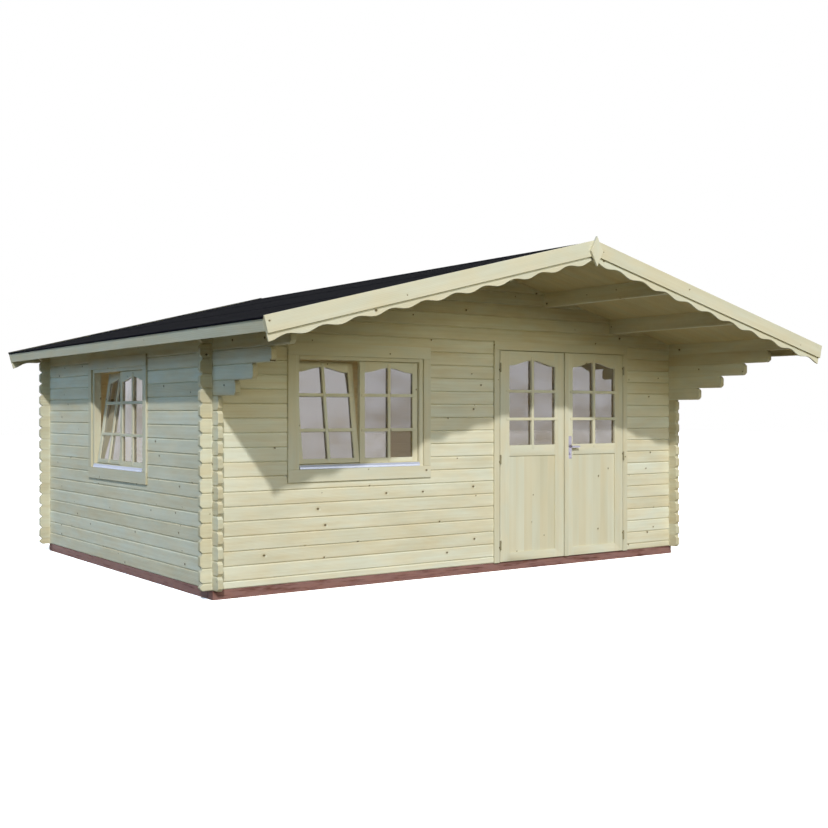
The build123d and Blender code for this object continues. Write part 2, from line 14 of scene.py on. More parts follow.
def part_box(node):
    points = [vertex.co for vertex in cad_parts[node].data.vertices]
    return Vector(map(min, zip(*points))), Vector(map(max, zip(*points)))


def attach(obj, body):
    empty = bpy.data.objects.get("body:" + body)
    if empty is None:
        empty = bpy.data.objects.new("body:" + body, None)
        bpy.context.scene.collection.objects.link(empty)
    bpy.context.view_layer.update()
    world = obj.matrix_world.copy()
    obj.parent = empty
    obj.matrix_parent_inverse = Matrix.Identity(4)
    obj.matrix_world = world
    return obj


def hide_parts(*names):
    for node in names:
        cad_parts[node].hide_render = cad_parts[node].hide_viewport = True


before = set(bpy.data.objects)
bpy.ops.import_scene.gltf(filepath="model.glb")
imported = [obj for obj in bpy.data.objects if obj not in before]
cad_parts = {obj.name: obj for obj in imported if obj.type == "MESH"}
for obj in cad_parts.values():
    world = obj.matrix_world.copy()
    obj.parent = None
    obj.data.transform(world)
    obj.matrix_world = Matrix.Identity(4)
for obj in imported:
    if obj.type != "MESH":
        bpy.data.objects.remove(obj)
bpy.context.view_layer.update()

LOG = logging.getLogger("log_cabin")

Colour = tuple[float, float, float]
Place = tuple[float, float, float]
Material = bpy.types.Material
Piece = bpy.types.Object
Socket = bpy.types.NodeSocket
Tree = bpy.types.NodeTree
Value = float | tuple[float, ...] | Socket


class Slot(Enum):
    """Material slots of the record."""

    SPRUCE = "spruce"
    FLOOR = "floor_timber"
    TREATED = "treated_timber"
    FELT = "roof_felt"
    DRIP = "drip_strip"
    STEEL = "steel"


class Body(Enum):
    """Bodies that a piece can ride on."""

    CABIN = "cabin"
    LEFT_DOOR = "left_door"
    RIGHT_DOOR = "right_door"
    LEVER = "lever"


class Grain(Enum):
    """How the fibres of a timber piece run."""

    LONGEST = "along the longest side of each board"
    LOG = "along each log, with ends past the corners that have taken more colour"
    ALONG_X = "along X"
    ALONG_Z = "upright"
    FALL_LEFT = "down the left slope"
    FALL_RIGHT = "down the right slope"
    JOINERY_X = "upright in stiles, along X in rails"
    JOINERY_Y = "upright in stiles, along Y in rails"


def linear(red: int, green: int, blue: int) -> Colour:
    """Turn a screen colour into the renderer's linear colour.

    Args:
        red: Red from 0 to 255.
        green: Green from 0 to 255.
        blue: Blue from 0 to 255.

    Returns:
        The linear colour.
    """
    def channel(value: int) -> float:
        """One channel of the colour."""
        share = value / 255
        return share / 12.92 if share <= 0.04045 else ((share + 0.055) / 1.055) ** 2.4
    return channel(red), channel(green), channel(blue)


class Graph:
    """Short hand for building a node tree."""

    def __init__(self, tree: Tree) -> None:
        """Keep the tree that gets the nodes."""
        self.tree = tree

    @classmethod
    def emptied(cls, owner: Material | bpy.types.World) -> "Graph":
        """Empty the node tree of a material or a world.

        Args:
            owner: Owner of the tree.

        Returns:
            The graph of the empty tree.
        """
        owner.use_nodes = True
        owner.node_tree.nodes.clear()
        return cls(owner.node_tree)

    def node(self, kind: str, **settings: object) -> bpy.types.Node:
        """Add a node.

        Args:
            kind: Type name of the node.
            settings: Properties to set on it.

        Returns:
            The new node.
        """
        made = self.tree.nodes.new(kind)
        for name, value in settings.items():
            setattr(made, name, value)
        return made

    def feed(self, socket: Socket, value: Value) -> None:
        """Link a socket to another one, or set its own value.

        Args:
            socket: Input to feed.
            value: Output socket, number, colour or vector.
        """
        if isinstance(value, Socket):
            self.tree.links.new(value, socket)
        elif socket.type == "RGBA" and len(value) == 3:
            socket.default_value = (*value, 1.0)
        else:
            socket.default_value = value

    def feed_all(self, node: bpy.types.Node, values: dict[str | int, Value]) -> bpy.types.Node:
        """Feed several inputs of a node.

        Args:
            node: Node to feed.
            values: Value of each input, by its label or number.

        Returns:
            The node.
        """
        for label, value in values.items():
            self.feed(node.inputs[label], value)
        return node

    def maths(self, operation: str, first: Value, second: Value = 0.0, clamp: bool = False) -> Socket:
        """Add a maths node, whose result stays from 0 to 1 if asked."""
        made = self.node("ShaderNodeMath", operation=operation, use_clamp=clamp)
        return self.feed_all(made, {0: first, 1: second}).outputs[0]

    def plus(self, first: Value, second: Value, clamp: bool = False) -> Socket:
        """Add two values, and keep the sum from 0 to 1 if asked."""
        return self.maths("ADD", first, second, clamp)

    def minus(self, first: Value, second: Value) -> Socket:
        """Take the second value from the first."""
        return self.maths("SUBTRACT", first, second)

    def times(self, first: Value, second: Value) -> Socket:
        """Multiply two values."""
        return self.maths("MULTIPLY", first, second)

    def vector(self, operation: str, first: Value, second: Value = (0.0, 0.0, 0.0)) -> Socket:
        """Add a vector maths node and return the length for LENGTH, the vector otherwise."""
        made = self.feed_all(self.node("ShaderNodeVectorMath", operation=operation), {0: first, 1: second})
        return made.outputs["Value" if operation == "LENGTH" else "Vector"]

    def scale(self, vector: Value, factor: Value) -> Socket:
        """Scale a vector by a value."""
        made = self.node("ShaderNodeVectorMath", operation="SCALE")
        return self.feed_all(made, {0: vector, "Scale": factor}).outputs[0]

    def blend(self, share: Value, first: Value, second: Value, mode: str = "MIX") -> Socket:
        """Mix two colours by the share of the second one."""
        made = self.node("ShaderNodeMix", data_type="RGBA", blend_type=mode)
        return self.feed_all(made, {0: share, 6: first, 7: second}).outputs[2]

    def spread(self, value: Value, low: Value, high: Value, to_low: Value = 0.0, to_high: Value = 1.0,
               kind: str = "SMOOTHSTEP") -> Socket:
        """Map a value from the range low to high to the range to_low to to_high."""
        made = self.node("ShaderNodeMapRange", interpolation_type=kind)
        return self.feed_all(made, dict(enumerate((value, low, high, to_low, to_high)))).outputs[0]

    def noise(self, place: Value, scale: float = 1.0, detail: float = 2.0, roughness: float = 0.5) -> Socket:
        """Add a noise texture.

        Args:
            place: Coordinates.
            scale: Scale of the noise.
            detail: Octaves.
            roughness: Weight of the finer octaves.

        Returns:
            The noise value.
        """
        made = self.node("ShaderNodeTexNoise")
        values = {"Vector": place, "Scale": scale, "Detail": detail, "Roughness": roughness}
        return self.feed_all(made, values).outputs[0]

    def split(self, vector: Value) -> tuple[Socket, ...]:
        """Take a vector apart into X, Y and Z."""
        return tuple(self.feed_all(self.node("ShaderNodeSeparateXYZ"), {0: vector}).outputs)

    def gather(self, x: Value, y: Value, z: Value = 0.0) -> Socket:
        """Make a vector of X, Y and Z."""
        return self.feed_all(self.node("ShaderNodeCombineXYZ"), {0: x, 1: y, 2: z}).outputs[0]


class NodeGroup:
    """A shader node group that is built on first use."""

    name: str
    inputs: tuple[tuple[str, str], ...]
    outputs = (("Color", "Color"), ("Roughness", "Float"), ("Height", "Float"))

    @classmethod
    def tree(cls) -> Tree:
        """Return the group's tree, built on first use."""
        return bpy.data.node_groups.get(cls.name) or cls.build()

    @classmethod
    def start(cls) -> tuple[Graph, bpy.types.bpy_prop_collection]:
        """Make the empty group with its sockets.

        Returns:
            The group's graph and the sockets that bring its inputs.
        """
        tree = bpy.data.node_groups.new(cls.name, "ShaderNodeTree")
        for direction, sockets in (("INPUT", cls.inputs), ("OUTPUT", cls.outputs)):
            for label, kind in sockets:
                tree.interface.new_socket(label, in_out=direction, socket_type="NodeSocket" + kind)
        graph = Graph(tree)
        return graph, graph.node("NodeGroupInput").outputs


class TimberGrain(NodeGroup):
    """Node group with the fibres, rings, knots and end grain of sawn timber.

    A stretch scales the coordinates along, across and through a board, and a range is given to Graph.spread.
    """

    name = "timber_grain"
    inputs = (("Grain", "Vector"), ("Board", "Vector"), ("Pale", "Color"), ("Deep", "Color"),
              ("Knot", "Color"), ("Knot Share", "Float"), ("Streaks", "Float"), ("Variation", "Float"),
              ("Patches", "Float"))
    board_shift = (31.7, 13.9, 7.3)
    fibre_stretch = (2.2, 95.0, 95.0)
    ring_share = 0.5
    figure_middle = 0.35
    mean_depth = 0.36
    halo_depth = 0.35
    knot_highlight_share = 0.7
    knot_rise = 0.6
    roughness_range = (0.2, 0.8, 0.52, 0.72)
    warm = (1.026, 0.995, 0.962)
    cool = (0.978, 1.0, 1.03)
    cloud_stretch = (1.9, 9.0, 9.0)
    cloud_weight = 2.4
    band_stretch = (0.8, 36.0, 36.0)
    band_weight = 1.6
    hue_stretch = (2.6, 7.0, 5.0)
    hue_scale = 1.3
    hue_range = (0.3, 0.7)
    knot_cell = (0.50, 0.13, 1.0)
    knot_smallest = 0.0030
    knot_spread = 0.0060
    knot_squash = 0.72
    core_range = (1.4, 0.5)
    # Painted highlight beside each knot: its place and size, in knot radii.
    knot_highlight_place = (1.9, 0.7)
    knot_highlight_range = (1.9, 0.5)
    halo_range = (3.2, 0.9)
    bulge_range = (6.0, 0.5)
    sway_stretch = (0.9, 5.0, 5.0)
    sway_reach = 0.055
    bulge_reach = 0.012
    ring_slant = 0.6
    ring_rate = 620.0
    ring_range = (-0.6, 1.0)
    pith_depth = 0.06
    end_rate = 900.0
    end_range = (-0.5, 1.0, 0.30, 0.58)

    @classmethod
    def build(cls) -> Tree:
        """Build the group.

        Returns:
            The group's tree.
        """
        graph, source = cls.start()
        tone, end, chance = graph.split(source["Board"])
        shift = graph.vector("MULTIPLY", graph.gather(tone, chance, tone), cls.board_shift)
        place = graph.vector("ADD", source["Grain"], shift)
        knot, knot_highlight, halo, bulge = cls.knots(graph, place, source["Knot Share"])
        rings = cls.rings(graph, place, bulge)
        fibres = graph.noise(graph.vector("MULTIPLY", place, cls.fibre_stretch), detail=3.0, roughness=0.6)
        figure = graph.plus(graph.times(rings, cls.ring_share), graph.times(fibres, 1.0 - cls.ring_share))
        figure = graph.times(graph.minus(figure, cls.figure_middle), source["Streaks"])
        wander, warmth = cls.patches(graph, place, source["Patches"])
        wander = graph.plus(wander, graph.minus(tone, 0.5))
        depth = graph.plus(figure, graph.times(wander, source["Variation"]))
        depth = graph.plus(graph.plus(depth, cls.mean_depth), graph.times(halo, cls.halo_depth), clamp=True)
        colour = graph.blend(depth, source["Pale"], source["Deep"])
        colour = graph.blend(1.0, colour, graph.blend(warmth, cls.cool, cls.warm), "MULTIPLY")
        colour = graph.blend(cls.end_grain(graph, place, end), colour, source["Deep"], "MULTIPLY")
        # Painted highlight: a fleck of the pale colour on one side of each knot.
        colour = graph.blend(graph.times(knot_highlight, cls.knot_highlight_share), colour, source["Pale"])
        colour = graph.blend(knot, colour, source["Knot"])
        graph.feed_all(graph.node("NodeGroupOutput"), {
            "Color": colour, "Roughness": graph.spread(fibres, *cls.roughness_range),
            "Height": graph.plus(figure, graph.times(knot, cls.knot_rise))})
        return graph.tree

    @classmethod
    def patches(cls, graph: Graph, place: Value, scale: Value) -> tuple[Socket, ...]:
        """Lay broad patches and long bands of tone over the boards.

        Args:
            graph: Graph that gets the nodes.
            place: Coordinates along, across and through the board.
            scale: How much finer than usual the patches are.

        Returns:
            The change of tone, around zero, and the warmth from 0 to 1.
        """
        scaled = graph.scale(place, scale)
        clouds = graph.noise(graph.vector("MULTIPLY", scaled, cls.cloud_stretch), detail=3.0, roughness=0.6)
        bands = graph.noise(graph.vector("MULTIPLY", scaled, cls.band_stretch))
        hues = graph.noise(graph.vector("MULTIPLY", scaled, cls.hue_stretch), cls.hue_scale)
        clouds = graph.times(graph.minus(clouds, 0.5), cls.cloud_weight)
        bands = graph.times(graph.minus(bands, 0.5), cls.band_weight)
        return graph.plus(clouds, bands), graph.spread(hues, *cls.hue_range)

    @classmethod
    def knots(cls, graph: Graph, place: Value, share: Value) -> tuple[Socket, ...]:
        """Scatter knots over the boards.

        Args:
            graph: Graph that gets the nodes.
            place: Coordinates along, across and through the board.
            share: Share of the cells that hold a knot.

        Returns:
            Masks of the knot, of a painted highlight beside it, of its halo, and how far it pushes the rings
            aside.
        """
        cells = graph.node("ShaderNodeTexVoronoi", voronoi_dimensions="2D", feature="F1")
        scaled = graph.vector("DIVIDE", place, cls.knot_cell)
        graph.feed_all(cells, {"Vector": scaled, "Scale": 1.0})
        offset = graph.vector("SUBTRACT", scaled, cells.outputs["Position"])
        along, across, _ = graph.split(graph.vector("MULTIPLY", offset, cls.knot_cell))
        distance = graph.vector("LENGTH", graph.gather(graph.times(along, cls.knot_squash), across))
        luck, size, _ = graph.split(cells.outputs["Color"])
        present = graph.maths("LESS_THAN", luck, share)
        radius = graph.plus(graph.times(size, cls.knot_spread), cls.knot_smallest)
        ratio = graph.maths("DIVIDE", distance, radius)
        aside = graph.vector("LENGTH", graph.gather(
            graph.minus(graph.maths("DIVIDE", along, radius), cls.knot_highlight_place[0]),
            graph.plus(graph.maths("DIVIDE", across, radius), cls.knot_highlight_place[1])))
        return tuple(graph.times(graph.spread(reach, *ends), present)
                     for reach, ends in ((ratio, cls.core_range), (aside, cls.knot_highlight_range),
                                         (ratio, cls.halo_range), (ratio, cls.bulge_range)))

    @classmethod
    def rings(cls, graph: Graph, place: Value, bulge: Value) -> Socket:
        """Draw the growth rings as lines along the board.

        Args:
            graph: Graph that gets the nodes.
            place: Coordinates along, across and through the board.
            bulge: How far knots push the lines aside.

        Returns:
            The lines, from 0 to 1.
        """
        _, across, through = graph.split(place)
        sway = graph.noise(graph.vector("MULTIPLY", place, cls.sway_stretch), detail=1.0)
        across = graph.plus(across, graph.times(sway, cls.sway_reach))
        across = graph.plus(across, graph.times(bulge, cls.bulge_reach))
        turns = graph.times(graph.plus(across, graph.times(through, cls.ring_slant)), cls.ring_rate)
        return graph.spread(graph.maths("SINE", turns), *cls.ring_range)

    @classmethod
    def end_grain(cls, graph: Graph, place: Value, end: Value) -> Socket:
        """Draw rings on cut ends.

        Args:
            graph: Graph that gets the nodes.
            place: Coordinates along, across and through the board.
            end: One on a cut end, less on a log's end past a corner, zero elsewhere.

        Returns:
            How much the cut end darkens.
        """
        _, across, through = graph.split(place)
        reach = graph.vector("LENGTH", graph.gather(across, graph.plus(through, cls.pith_depth)))
        lines = graph.spread(graph.maths("SINE", graph.times(reach, cls.end_rate)), *cls.end_range)
        return graph.times(lines, end)


class Speckle(NodeGroup):
    """Node group with fine grit and broad blotches, for felt and metal."""

    name = "speckle"
    inputs = (("Place", "Vector"), ("Base", "Color"), ("Grit", "Color"), ("Grit Scale", "Float"),
              ("Grit Share", "Float"), ("Blotches", "Float"), ("Smooth", "Float"), ("Rough", "Float"))
    grit_range = (0.45, 0.75)
    blotch_scale = 2.3
    blotch_range = (0.35, 0.7)
    rough_range = (0.3, 0.7)

    @classmethod
    def build(cls) -> Tree:
        """Build the group.

        Returns:
            The group's tree.
        """
        graph, source = cls.start()
        grit = graph.noise(graph.scale(source["Place"], source["Grit Scale"]), roughness=0.7)
        blotches = graph.noise(source["Place"], cls.blotch_scale, detail=4.0, roughness=0.6)
        shade = graph.times(graph.spread(grit, *cls.grit_range), source["Grit Share"])
        colour = graph.blend(shade, source["Base"], source["Grit"])
        dim = graph.times(graph.spread(blotches, *cls.blotch_range), source["Blotches"])
        colour = graph.blend(dim, colour, source["Grit"])
        rough = graph.spread(grit, *cls.rough_range, source["Smooth"], source["Rough"], "LINEAR")
        graph.feed_all(graph.node("NodeGroupOutput"), {"Color": colour, "Roughness": rough, "Height": grit})
        return graph.tree


class Finish:
    """A finish whose material is built on first use."""

    name: str

    def material(self) -> Material:
        """Return the material, built on first use."""
        return bpy.data.materials.get(self.name) or self.build()

    def start(self) -> tuple[Material, Graph, bpy.types.Node]:
        """Make the material with one Principled shader.

        Returns:
            The material, its graph and its shader.
        """
        material = bpy.data.materials.new(self.name)
        graph = Graph.emptied(material)
        shader = graph.node("ShaderNodeBsdfPrincipled")
        graph.feed_all(graph.node("ShaderNodeOutputMaterial"), {"Surface": shader.outputs[0]})
        return material, graph, shader

    @staticmethod
    def wire(graph: Graph, shader: bpy.types.Node, group: bpy.types.Node, bump: float, depth: float) -> None:
        """Lead a group's colour, roughness and height to a shader.

        Args:
            graph: Graph of the material.
            shader: Its Principled shader.
            group: Group node with the outputs.
            bump: Strength of the bump.
            depth: Depth of the bump in metres.
        """
        relief = graph.feed_all(graph.node("ShaderNodeBump"), {
            "Strength": bump, "Distance": depth, "Height": group.outputs["Height"]})
        graph.feed_all(shader, {"Base Color": group.outputs["Color"], "Roughness": group.outputs["Roughness"],
                                "Normal": relief.outputs[0]})


@dataclass(frozen=True)
class TimberFinish(Finish):
    """Planed or treated timber."""

    name: str
    slot: Slot
    pale: Colour
    deep: Colour
    knot: Colour
    knot_share: float = 0.5
    streaks: float = 0.5
    variation: float = 0.45
    patches: float = 1.0
    bump: float = 0.25
    bump_depth: float = 0.001
    gloss: float = 0.08

    def build(self) -> Material:
        """Build the material.

        Returns:
            The new material.
        """
        material, graph, shader = self.start()
        grain, board = (graph.node("ShaderNodeAttribute", attribute_name=name).outputs["Vector"]
                        for name in ("grain", "board"))
        group = graph.feed_all(graph.node("ShaderNodeGroup", node_tree=TimberGrain.tree()), {
            "Grain": grain, "Board": board, "Pale": self.pale, "Deep": self.deep, "Knot": self.knot,
            "Knot Share": self.knot_share, "Streaks": self.streaks, "Variation": self.variation,
            "Patches": self.patches})
        graph.feed_all(shader, {"Specular IOR Level": self.gloss})
        self.wire(graph, shader, group, self.bump, self.bump_depth)
        return material


@dataclass(frozen=True)
class SpeckledFinish(Finish):
    """Felt or metal with fine grit."""

    name: str
    slot: Slot
    base: Colour
    grit: Colour
    grit_scale: float
    grit_share: float
    blotches: float
    smooth: float
    rough: float
    metallic: float = 0.0
    bump: float = 0.2
    bump_depth: float = 0.0008
    gloss: float = 0.5

    def build(self) -> Material:
        """Build the material.

        Returns:
            The new material.
        """
        material, graph, shader = self.start()
        group = graph.feed_all(graph.node("ShaderNodeGroup", node_tree=Speckle.tree()), {
            "Place": graph.node("ShaderNodeTexCoord").outputs["Object"], "Base": self.base, "Grit": self.grit,
            "Grit Scale": self.grit_scale, "Grit Share": self.grit_share, "Blotches": self.blotches,
            "Smooth": self.smooth, "Rough": self.rough})
        graph.feed_all(shader, {"Metallic": self.metallic, "Specular IOR Level": self.gloss})
        self.wire(graph, shader, group, self.bump, self.bump_depth)
        return material


@dataclass(frozen=True)
class GlassFinish(Finish):
    """Window glass with a painted reflection of a cloudy sky, cut away at one spot where the room shows
    through.
    """

    name: str
    tint: Colour
    painted_sky_colour: Colour
    transmission: float
    refraction: float = 1.5
    mirror: float = 2.9
    # Painted sky reflection: heights, shares, lean and clouds of its mask.
    painted_sky_heights: tuple[float, float] = (1.0, 1.9)
    painted_sky_shares: tuple[float, float] = (0.5, 0.85)
    painted_sky_lean_share: float = 2.2
    cloud_stretch: tuple[float, float, float] = (1.0, 1.0, 1.9)
    painted_cloud_scale: float = 2.4
    painted_cloud_share: float = 1.7
    clear_spot: tuple[float, float, float] = (-0.76, -1.25, 1.14)
    clear_reach: float = 0.16
    clear_core: float = 0.85
    roughness_range: tuple[float, ...] = (0.3, 0.8, 0.0, 0.03)

    def build(self) -> Material:
        """Build the material.

        Returns:
            The new material.
        """
        material, graph, shader = self.start()
        place = graph.node("ShaderNodeTexCoord").outputs["Object"]
        stretched = graph.vector("MULTIPLY", place, self.cloud_stretch)
        clouds = graph.noise(stretched, self.painted_cloud_scale, detail=3.0)
        _, _, height = graph.split(place)
        _, _, lean = graph.split(graph.node("ShaderNodeNewGeometry").outputs["Normal"])
        # Painted sky reflection: a mask that grows up the pane and on glass tilted upwards, gets cloud
        # patches and is cut away at one spot; it blends the base colour to a pale lilac sky and sets the
        # weight of the coat that reflects.
        sky = graph.spread(height, *self.painted_sky_heights, *self.painted_sky_shares)
        sky = graph.plus(sky, graph.times(lean, self.painted_sky_lean_share))
        away = graph.vector("ABSOLUTE", graph.vector("SUBTRACT", place, self.clear_spot))
        beside, before, above = graph.split(away)
        spot = graph.maths("MAXIMUM", graph.maths("MAXIMUM", beside, before), above)
        sky = graph.minus(sky, graph.spread(spot, self.clear_reach, self.clear_reach * self.clear_core))
        sky = graph.plus(sky, graph.times(graph.minus(clouds, 0.5), self.painted_cloud_share), clamp=True)
        graph.feed_all(shader, {
            "Base Color": graph.blend(sky, self.tint, self.painted_sky_colour),
            "Roughness": graph.spread(clouds, *self.roughness_range), "Coat Weight": sky,
            "Coat IOR": self.mirror, "Transmission Weight": self.transmission, "IOR": self.refraction})
        return material


class Finishes:
    """All finishes of the cabin."""

    logs = TimberFinish("spruce_logs", Slot.SPRUCE, linear(229, 228, 207), linear(205, 194, 161),
                        linear(96, 82, 54))
    trim = TimberFinish("spruce_trim", Slot.SPRUCE, linear(221, 219, 198), linear(203, 193, 160),
                        linear(100, 86, 58), knot_share=0.35, streaks=0.4, variation=0.3)
    panel = TimberFinish("spruce_panel", Slot.SPRUCE, trim.pale, trim.deep, trim.knot, knot_share=0.4,
                         streaks=0.2, variation=0.42, patches=0.42)
    # Roof boards: spruce darker and yellower than the logs, as painted shade under the canopy.
    boards = TimberFinish("spruce_boards", Slot.SPRUCE, linear(212, 202, 163), linear(188, 170, 122),
                          linear(112, 88, 52), knot_share=0.4, streaks=0.3, variation=0.2)
    floor = TimberFinish("floor_boards", Slot.FLOOR, linear(214, 202, 168), linear(184, 160, 120),
                         linear(92, 70, 44))
    treated = TimberFinish("treated_beams", Slot.TREATED, linear(146, 110, 103), linear(84, 46, 37),
                           linear(46, 30, 26), knot_share=0.3, streaks=0.7, variation=1.1, patches=3.2)
    felt = SpeckledFinish("mineral_felt", Slot.FELT, linear(4, 5, 10), linear(17, 20, 30), grit_scale=420.0,
                          grit_share=0.45, blotches=0.2, smooth=0.86, rough=1.0, bump=0.4, gloss=0.02)
    # Glass: a warm tint, and a pale lilac painted sky reflection.
    glass = GlassFinish("glazing", linear(206, 196, 176), linear(158, 154, 170), transmission=1.0)
    # Aluminium of the drip strip: its own light metal colour, brightened and blued as a painted reflection of
    # the sky.
    drip = SpeckledFinish("drip_aluminium", Slot.DRIP, linear(206, 212, 232), linear(184, 190, 214),
                          grit_scale=300.0, grit_share=0.4, blotches=0.2, smooth=0.3, rough=0.45,
                          metallic=0.3, bump=0.05)
    steel = SpeckledFinish("brushed_steel", Slot.STEEL, linear(158, 154, 168), linear(128, 125, 137),
                           grit_scale=600.0, grit_share=0.5, blotches=0.2, smooth=0.25, rough=0.45,
                           metallic=1.0, bump=0.08)
    zinc = SpeckledFinish("zinc_barrel", Slot.STEEL, linear(142, 134, 104), linear(104, 98, 76),
                          grit_scale=420.0, grit_share=0.6, blotches=0.5, smooth=0.5, rough=0.7,
                          metallic=0.35, bump=0.12)


def add_object(name: str, data: bpy.types.ID) -> Piece:
    """Put a new object into the scene.

    Args:
        name: Name of the object.
        data: Its mesh, lamp or camera.

    Returns:
        The new object.
    """
    made = bpy.data.objects.new(name, data)
    bpy.context.scene.collection.objects.link(made)
    return made


class Bench:
    """Modelling steps that act on one piece."""

    merge_reach = 0.00005
    merge_angle = math.radians(0.5)
    bevel_angle = math.radians(28.0)
    smooth_angle = math.radians(32.0)
    face_weight = 100
    facing = 0.5

    @staticmethod
    def activate(piece: Piece) -> None:
        """Select one piece alone and make it active."""
        bpy.ops.object.select_all(action="DESELECT")
        piece.select_set(True)
        bpy.context.view_layer.objects.active = piece

    @classmethod
    @contextmanager
    def edit(cls, piece: Piece, picked: str | None = None) -> Iterator[None]:
        """Open a piece in edit mode.

        Args:
            piece: Piece to edit.
            picked: EDGE or FACE to keep those that are selected, or None to select all of the piece.

        Returns:
            A context that closes edit mode again.
        """
        cls.activate(piece)
        bpy.ops.object.mode_set(mode="EDIT")
        if picked:
            bpy.ops.mesh.select_mode(type=picked)
        else:
            bpy.ops.mesh.select_all(action="SELECT")
        yield
        bpy.ops.object.mode_set(mode="OBJECT")

    @classmethod
    def copy_of(cls, node: str, name: str) -> Piece:
        """Copy a node's mesh into a new piece with its facets merged into faces.

        Args:
            node: Node to copy.
            name: Name of the piece.

        Returns:
            The new piece.
        """
        piece = add_object(name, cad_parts[node].data.copy())
        with cls.edit(piece):
            bpy.ops.mesh.remove_doubles(threshold=cls.merge_reach)
            bpy.ops.mesh.dissolve_limited(angle_limit=cls.merge_angle)
        return piece

    @classmethod
    def block(cls, name: str, low: Sequence[float], high: Sequence[float]) -> Piece:
        """Start a piece as a block between two corners.

        Args:
            name: Name of the piece.
            low: Lowest corner.
            high: Highest corner.

        Returns:
            The new piece.
        """
        bpy.ops.object.select_all(action="DESELECT")
        first, last = Vector(low), Vector(high)
        bpy.ops.mesh.primitive_cube_add(size=1.0, location=(first + last) / 2, scale=last - first)
        piece = bpy.context.object
        piece.name = name
        bpy.ops.object.transform_apply(location=True, rotation=True, scale=True)
        return piece

    @classmethod
    def apply(cls, piece: Piece, kind: str, **settings: object) -> None:
        """Add a modifier to a piece and apply it.

        Args:
            piece: Piece to change.
            kind: Type of the modifier.
            settings: Its properties.
        """
        cls.activate(piece)
        modifier = piece.modifiers.new(kind.lower(), kind)
        for name, value in settings.items():
            setattr(modifier, name, value)
        bpy.ops.object.modifier_apply(modifier=modifier.name)

    @classmethod
    def soften(cls, piece: Piece, width: float, segments: int = 2) -> None:
        """Round the edges of a piece and keep its wide faces flat.

        Args:
            piece: Piece to round.
            width: Width of the rounding.
            segments: Faces across the rounding.
        """
        cls.apply(piece, "BEVEL", width=width, segments=segments, limit_method="ANGLE",
                  angle_limit=cls.bevel_angle, use_clamp_overlap=True)
        cls.activate(piece)
        bpy.ops.object.shade_smooth_by_angle(angle=cls.smooth_angle)
        cls.apply(piece, "WEIGHTED_NORMAL", weight=cls.face_weight, keep_sharp=True)

    @classmethod
    def cut(cls, piece: Piece, axis: int, place: float, keep_below: bool | None = None) -> None:
        """Cut a piece square to an axis.

        Args:
            piece: Piece to cut.
            axis: Index of the axis.
            place: Where the cut lies on it.
            keep_below: Which side stays, or None to keep both and only add the edge.
        """
        point = [0.0, 0.0, 0.0]
        normal = [0.0, 0.0, 0.0]
        point[axis] = place
        normal[axis] = 1.0
        with cls.edit(piece):
            bpy.ops.mesh.bisect(plane_co=point, plane_no=normal, use_fill=keep_below is not None,
                                clear_outer=keep_below is True, clear_inner=keep_below is False)

    @classmethod
    def move(cls, piece: Piece, matrix: Matrix) -> None:
        """Move a piece's mesh and keep its object at the origin."""
        piece.matrix_world = matrix
        cls.activate(piece)
        bpy.ops.object.transform_apply(location=True, rotation=True, scale=True)

    @classmethod
    def copies(cls, piece: Piece, matrices: Sequence[Matrix], name: str) -> Piece:
        """Repeat a piece at several places and join the copies.

        Args:
            piece: Piece to repeat, which is used up.
            matrices: Place of each copy.
            name: Name of the joined piece.

        Returns:
            The joined piece.
        """
        made = []
        for matrix in matrices:
            item = add_object(name, piece.data.copy())
            cls.move(item, matrix)
            made.append(item)
        bpy.data.objects.remove(piece)
        return cls.join(made, name)

    @classmethod
    def join(cls, pieces: Sequence[Piece], name: str) -> Piece:
        """Join pieces into one.

        Args:
            pieces: Pieces to join.
            name: Name of the joined piece.

        Returns:
            The joined piece.
        """
        cls.activate(pieces[0])
        for piece in pieces[1:]:
            piece.select_set(True)
        bpy.ops.object.join()
        pieces[0].name = name
        return pieces[0]

    @classmethod
    def chamfer_joints(cls, piece: Piece, axis: int, width: float, side: float) -> None:
        """Chamfer the long edges of a board on its upper or lower face.

        Args:
            piece: Board to chamfer.
            axis: Index of the axis across the board.
            width: Width of the chamfer.
            side: 1 for the upper face, -1 for the lower face.
        """
        mesh = piece.data
        cls.pick_faces(piece, lambda middle, normal: False)
        for edge in mesh.edges:
            faces = [face for face in mesh.polygons if set(edge.vertices) <= set(face.vertices)]
            on_face = any(face.normal.z * side > cls.facing for face in faces)
            on_joint = any(abs(face.normal[axis]) > cls.facing for face in faces)
            edge.select = on_face and on_joint
        with cls.edit(piece, "EDGE"):
            bpy.ops.mesh.bevel(offset=width, segments=1, affect="EDGES")

    @classmethod
    def pick_faces(cls, piece: Piece, test: Callable[[Vector, Vector], bool]) -> None:
        """Select the faces of a piece by their place and normal, ready for edit mode.

        Args:
            piece: Piece whose faces are tested.
            test: Takes a face's middle and normal and says whether it is selected.
        """
        mesh = piece.data
        for group in (mesh.vertices, mesh.edges):
            for item in group:
                item.select = False
        for face in mesh.polygons:
            face.select = test(face.center, face.normal)


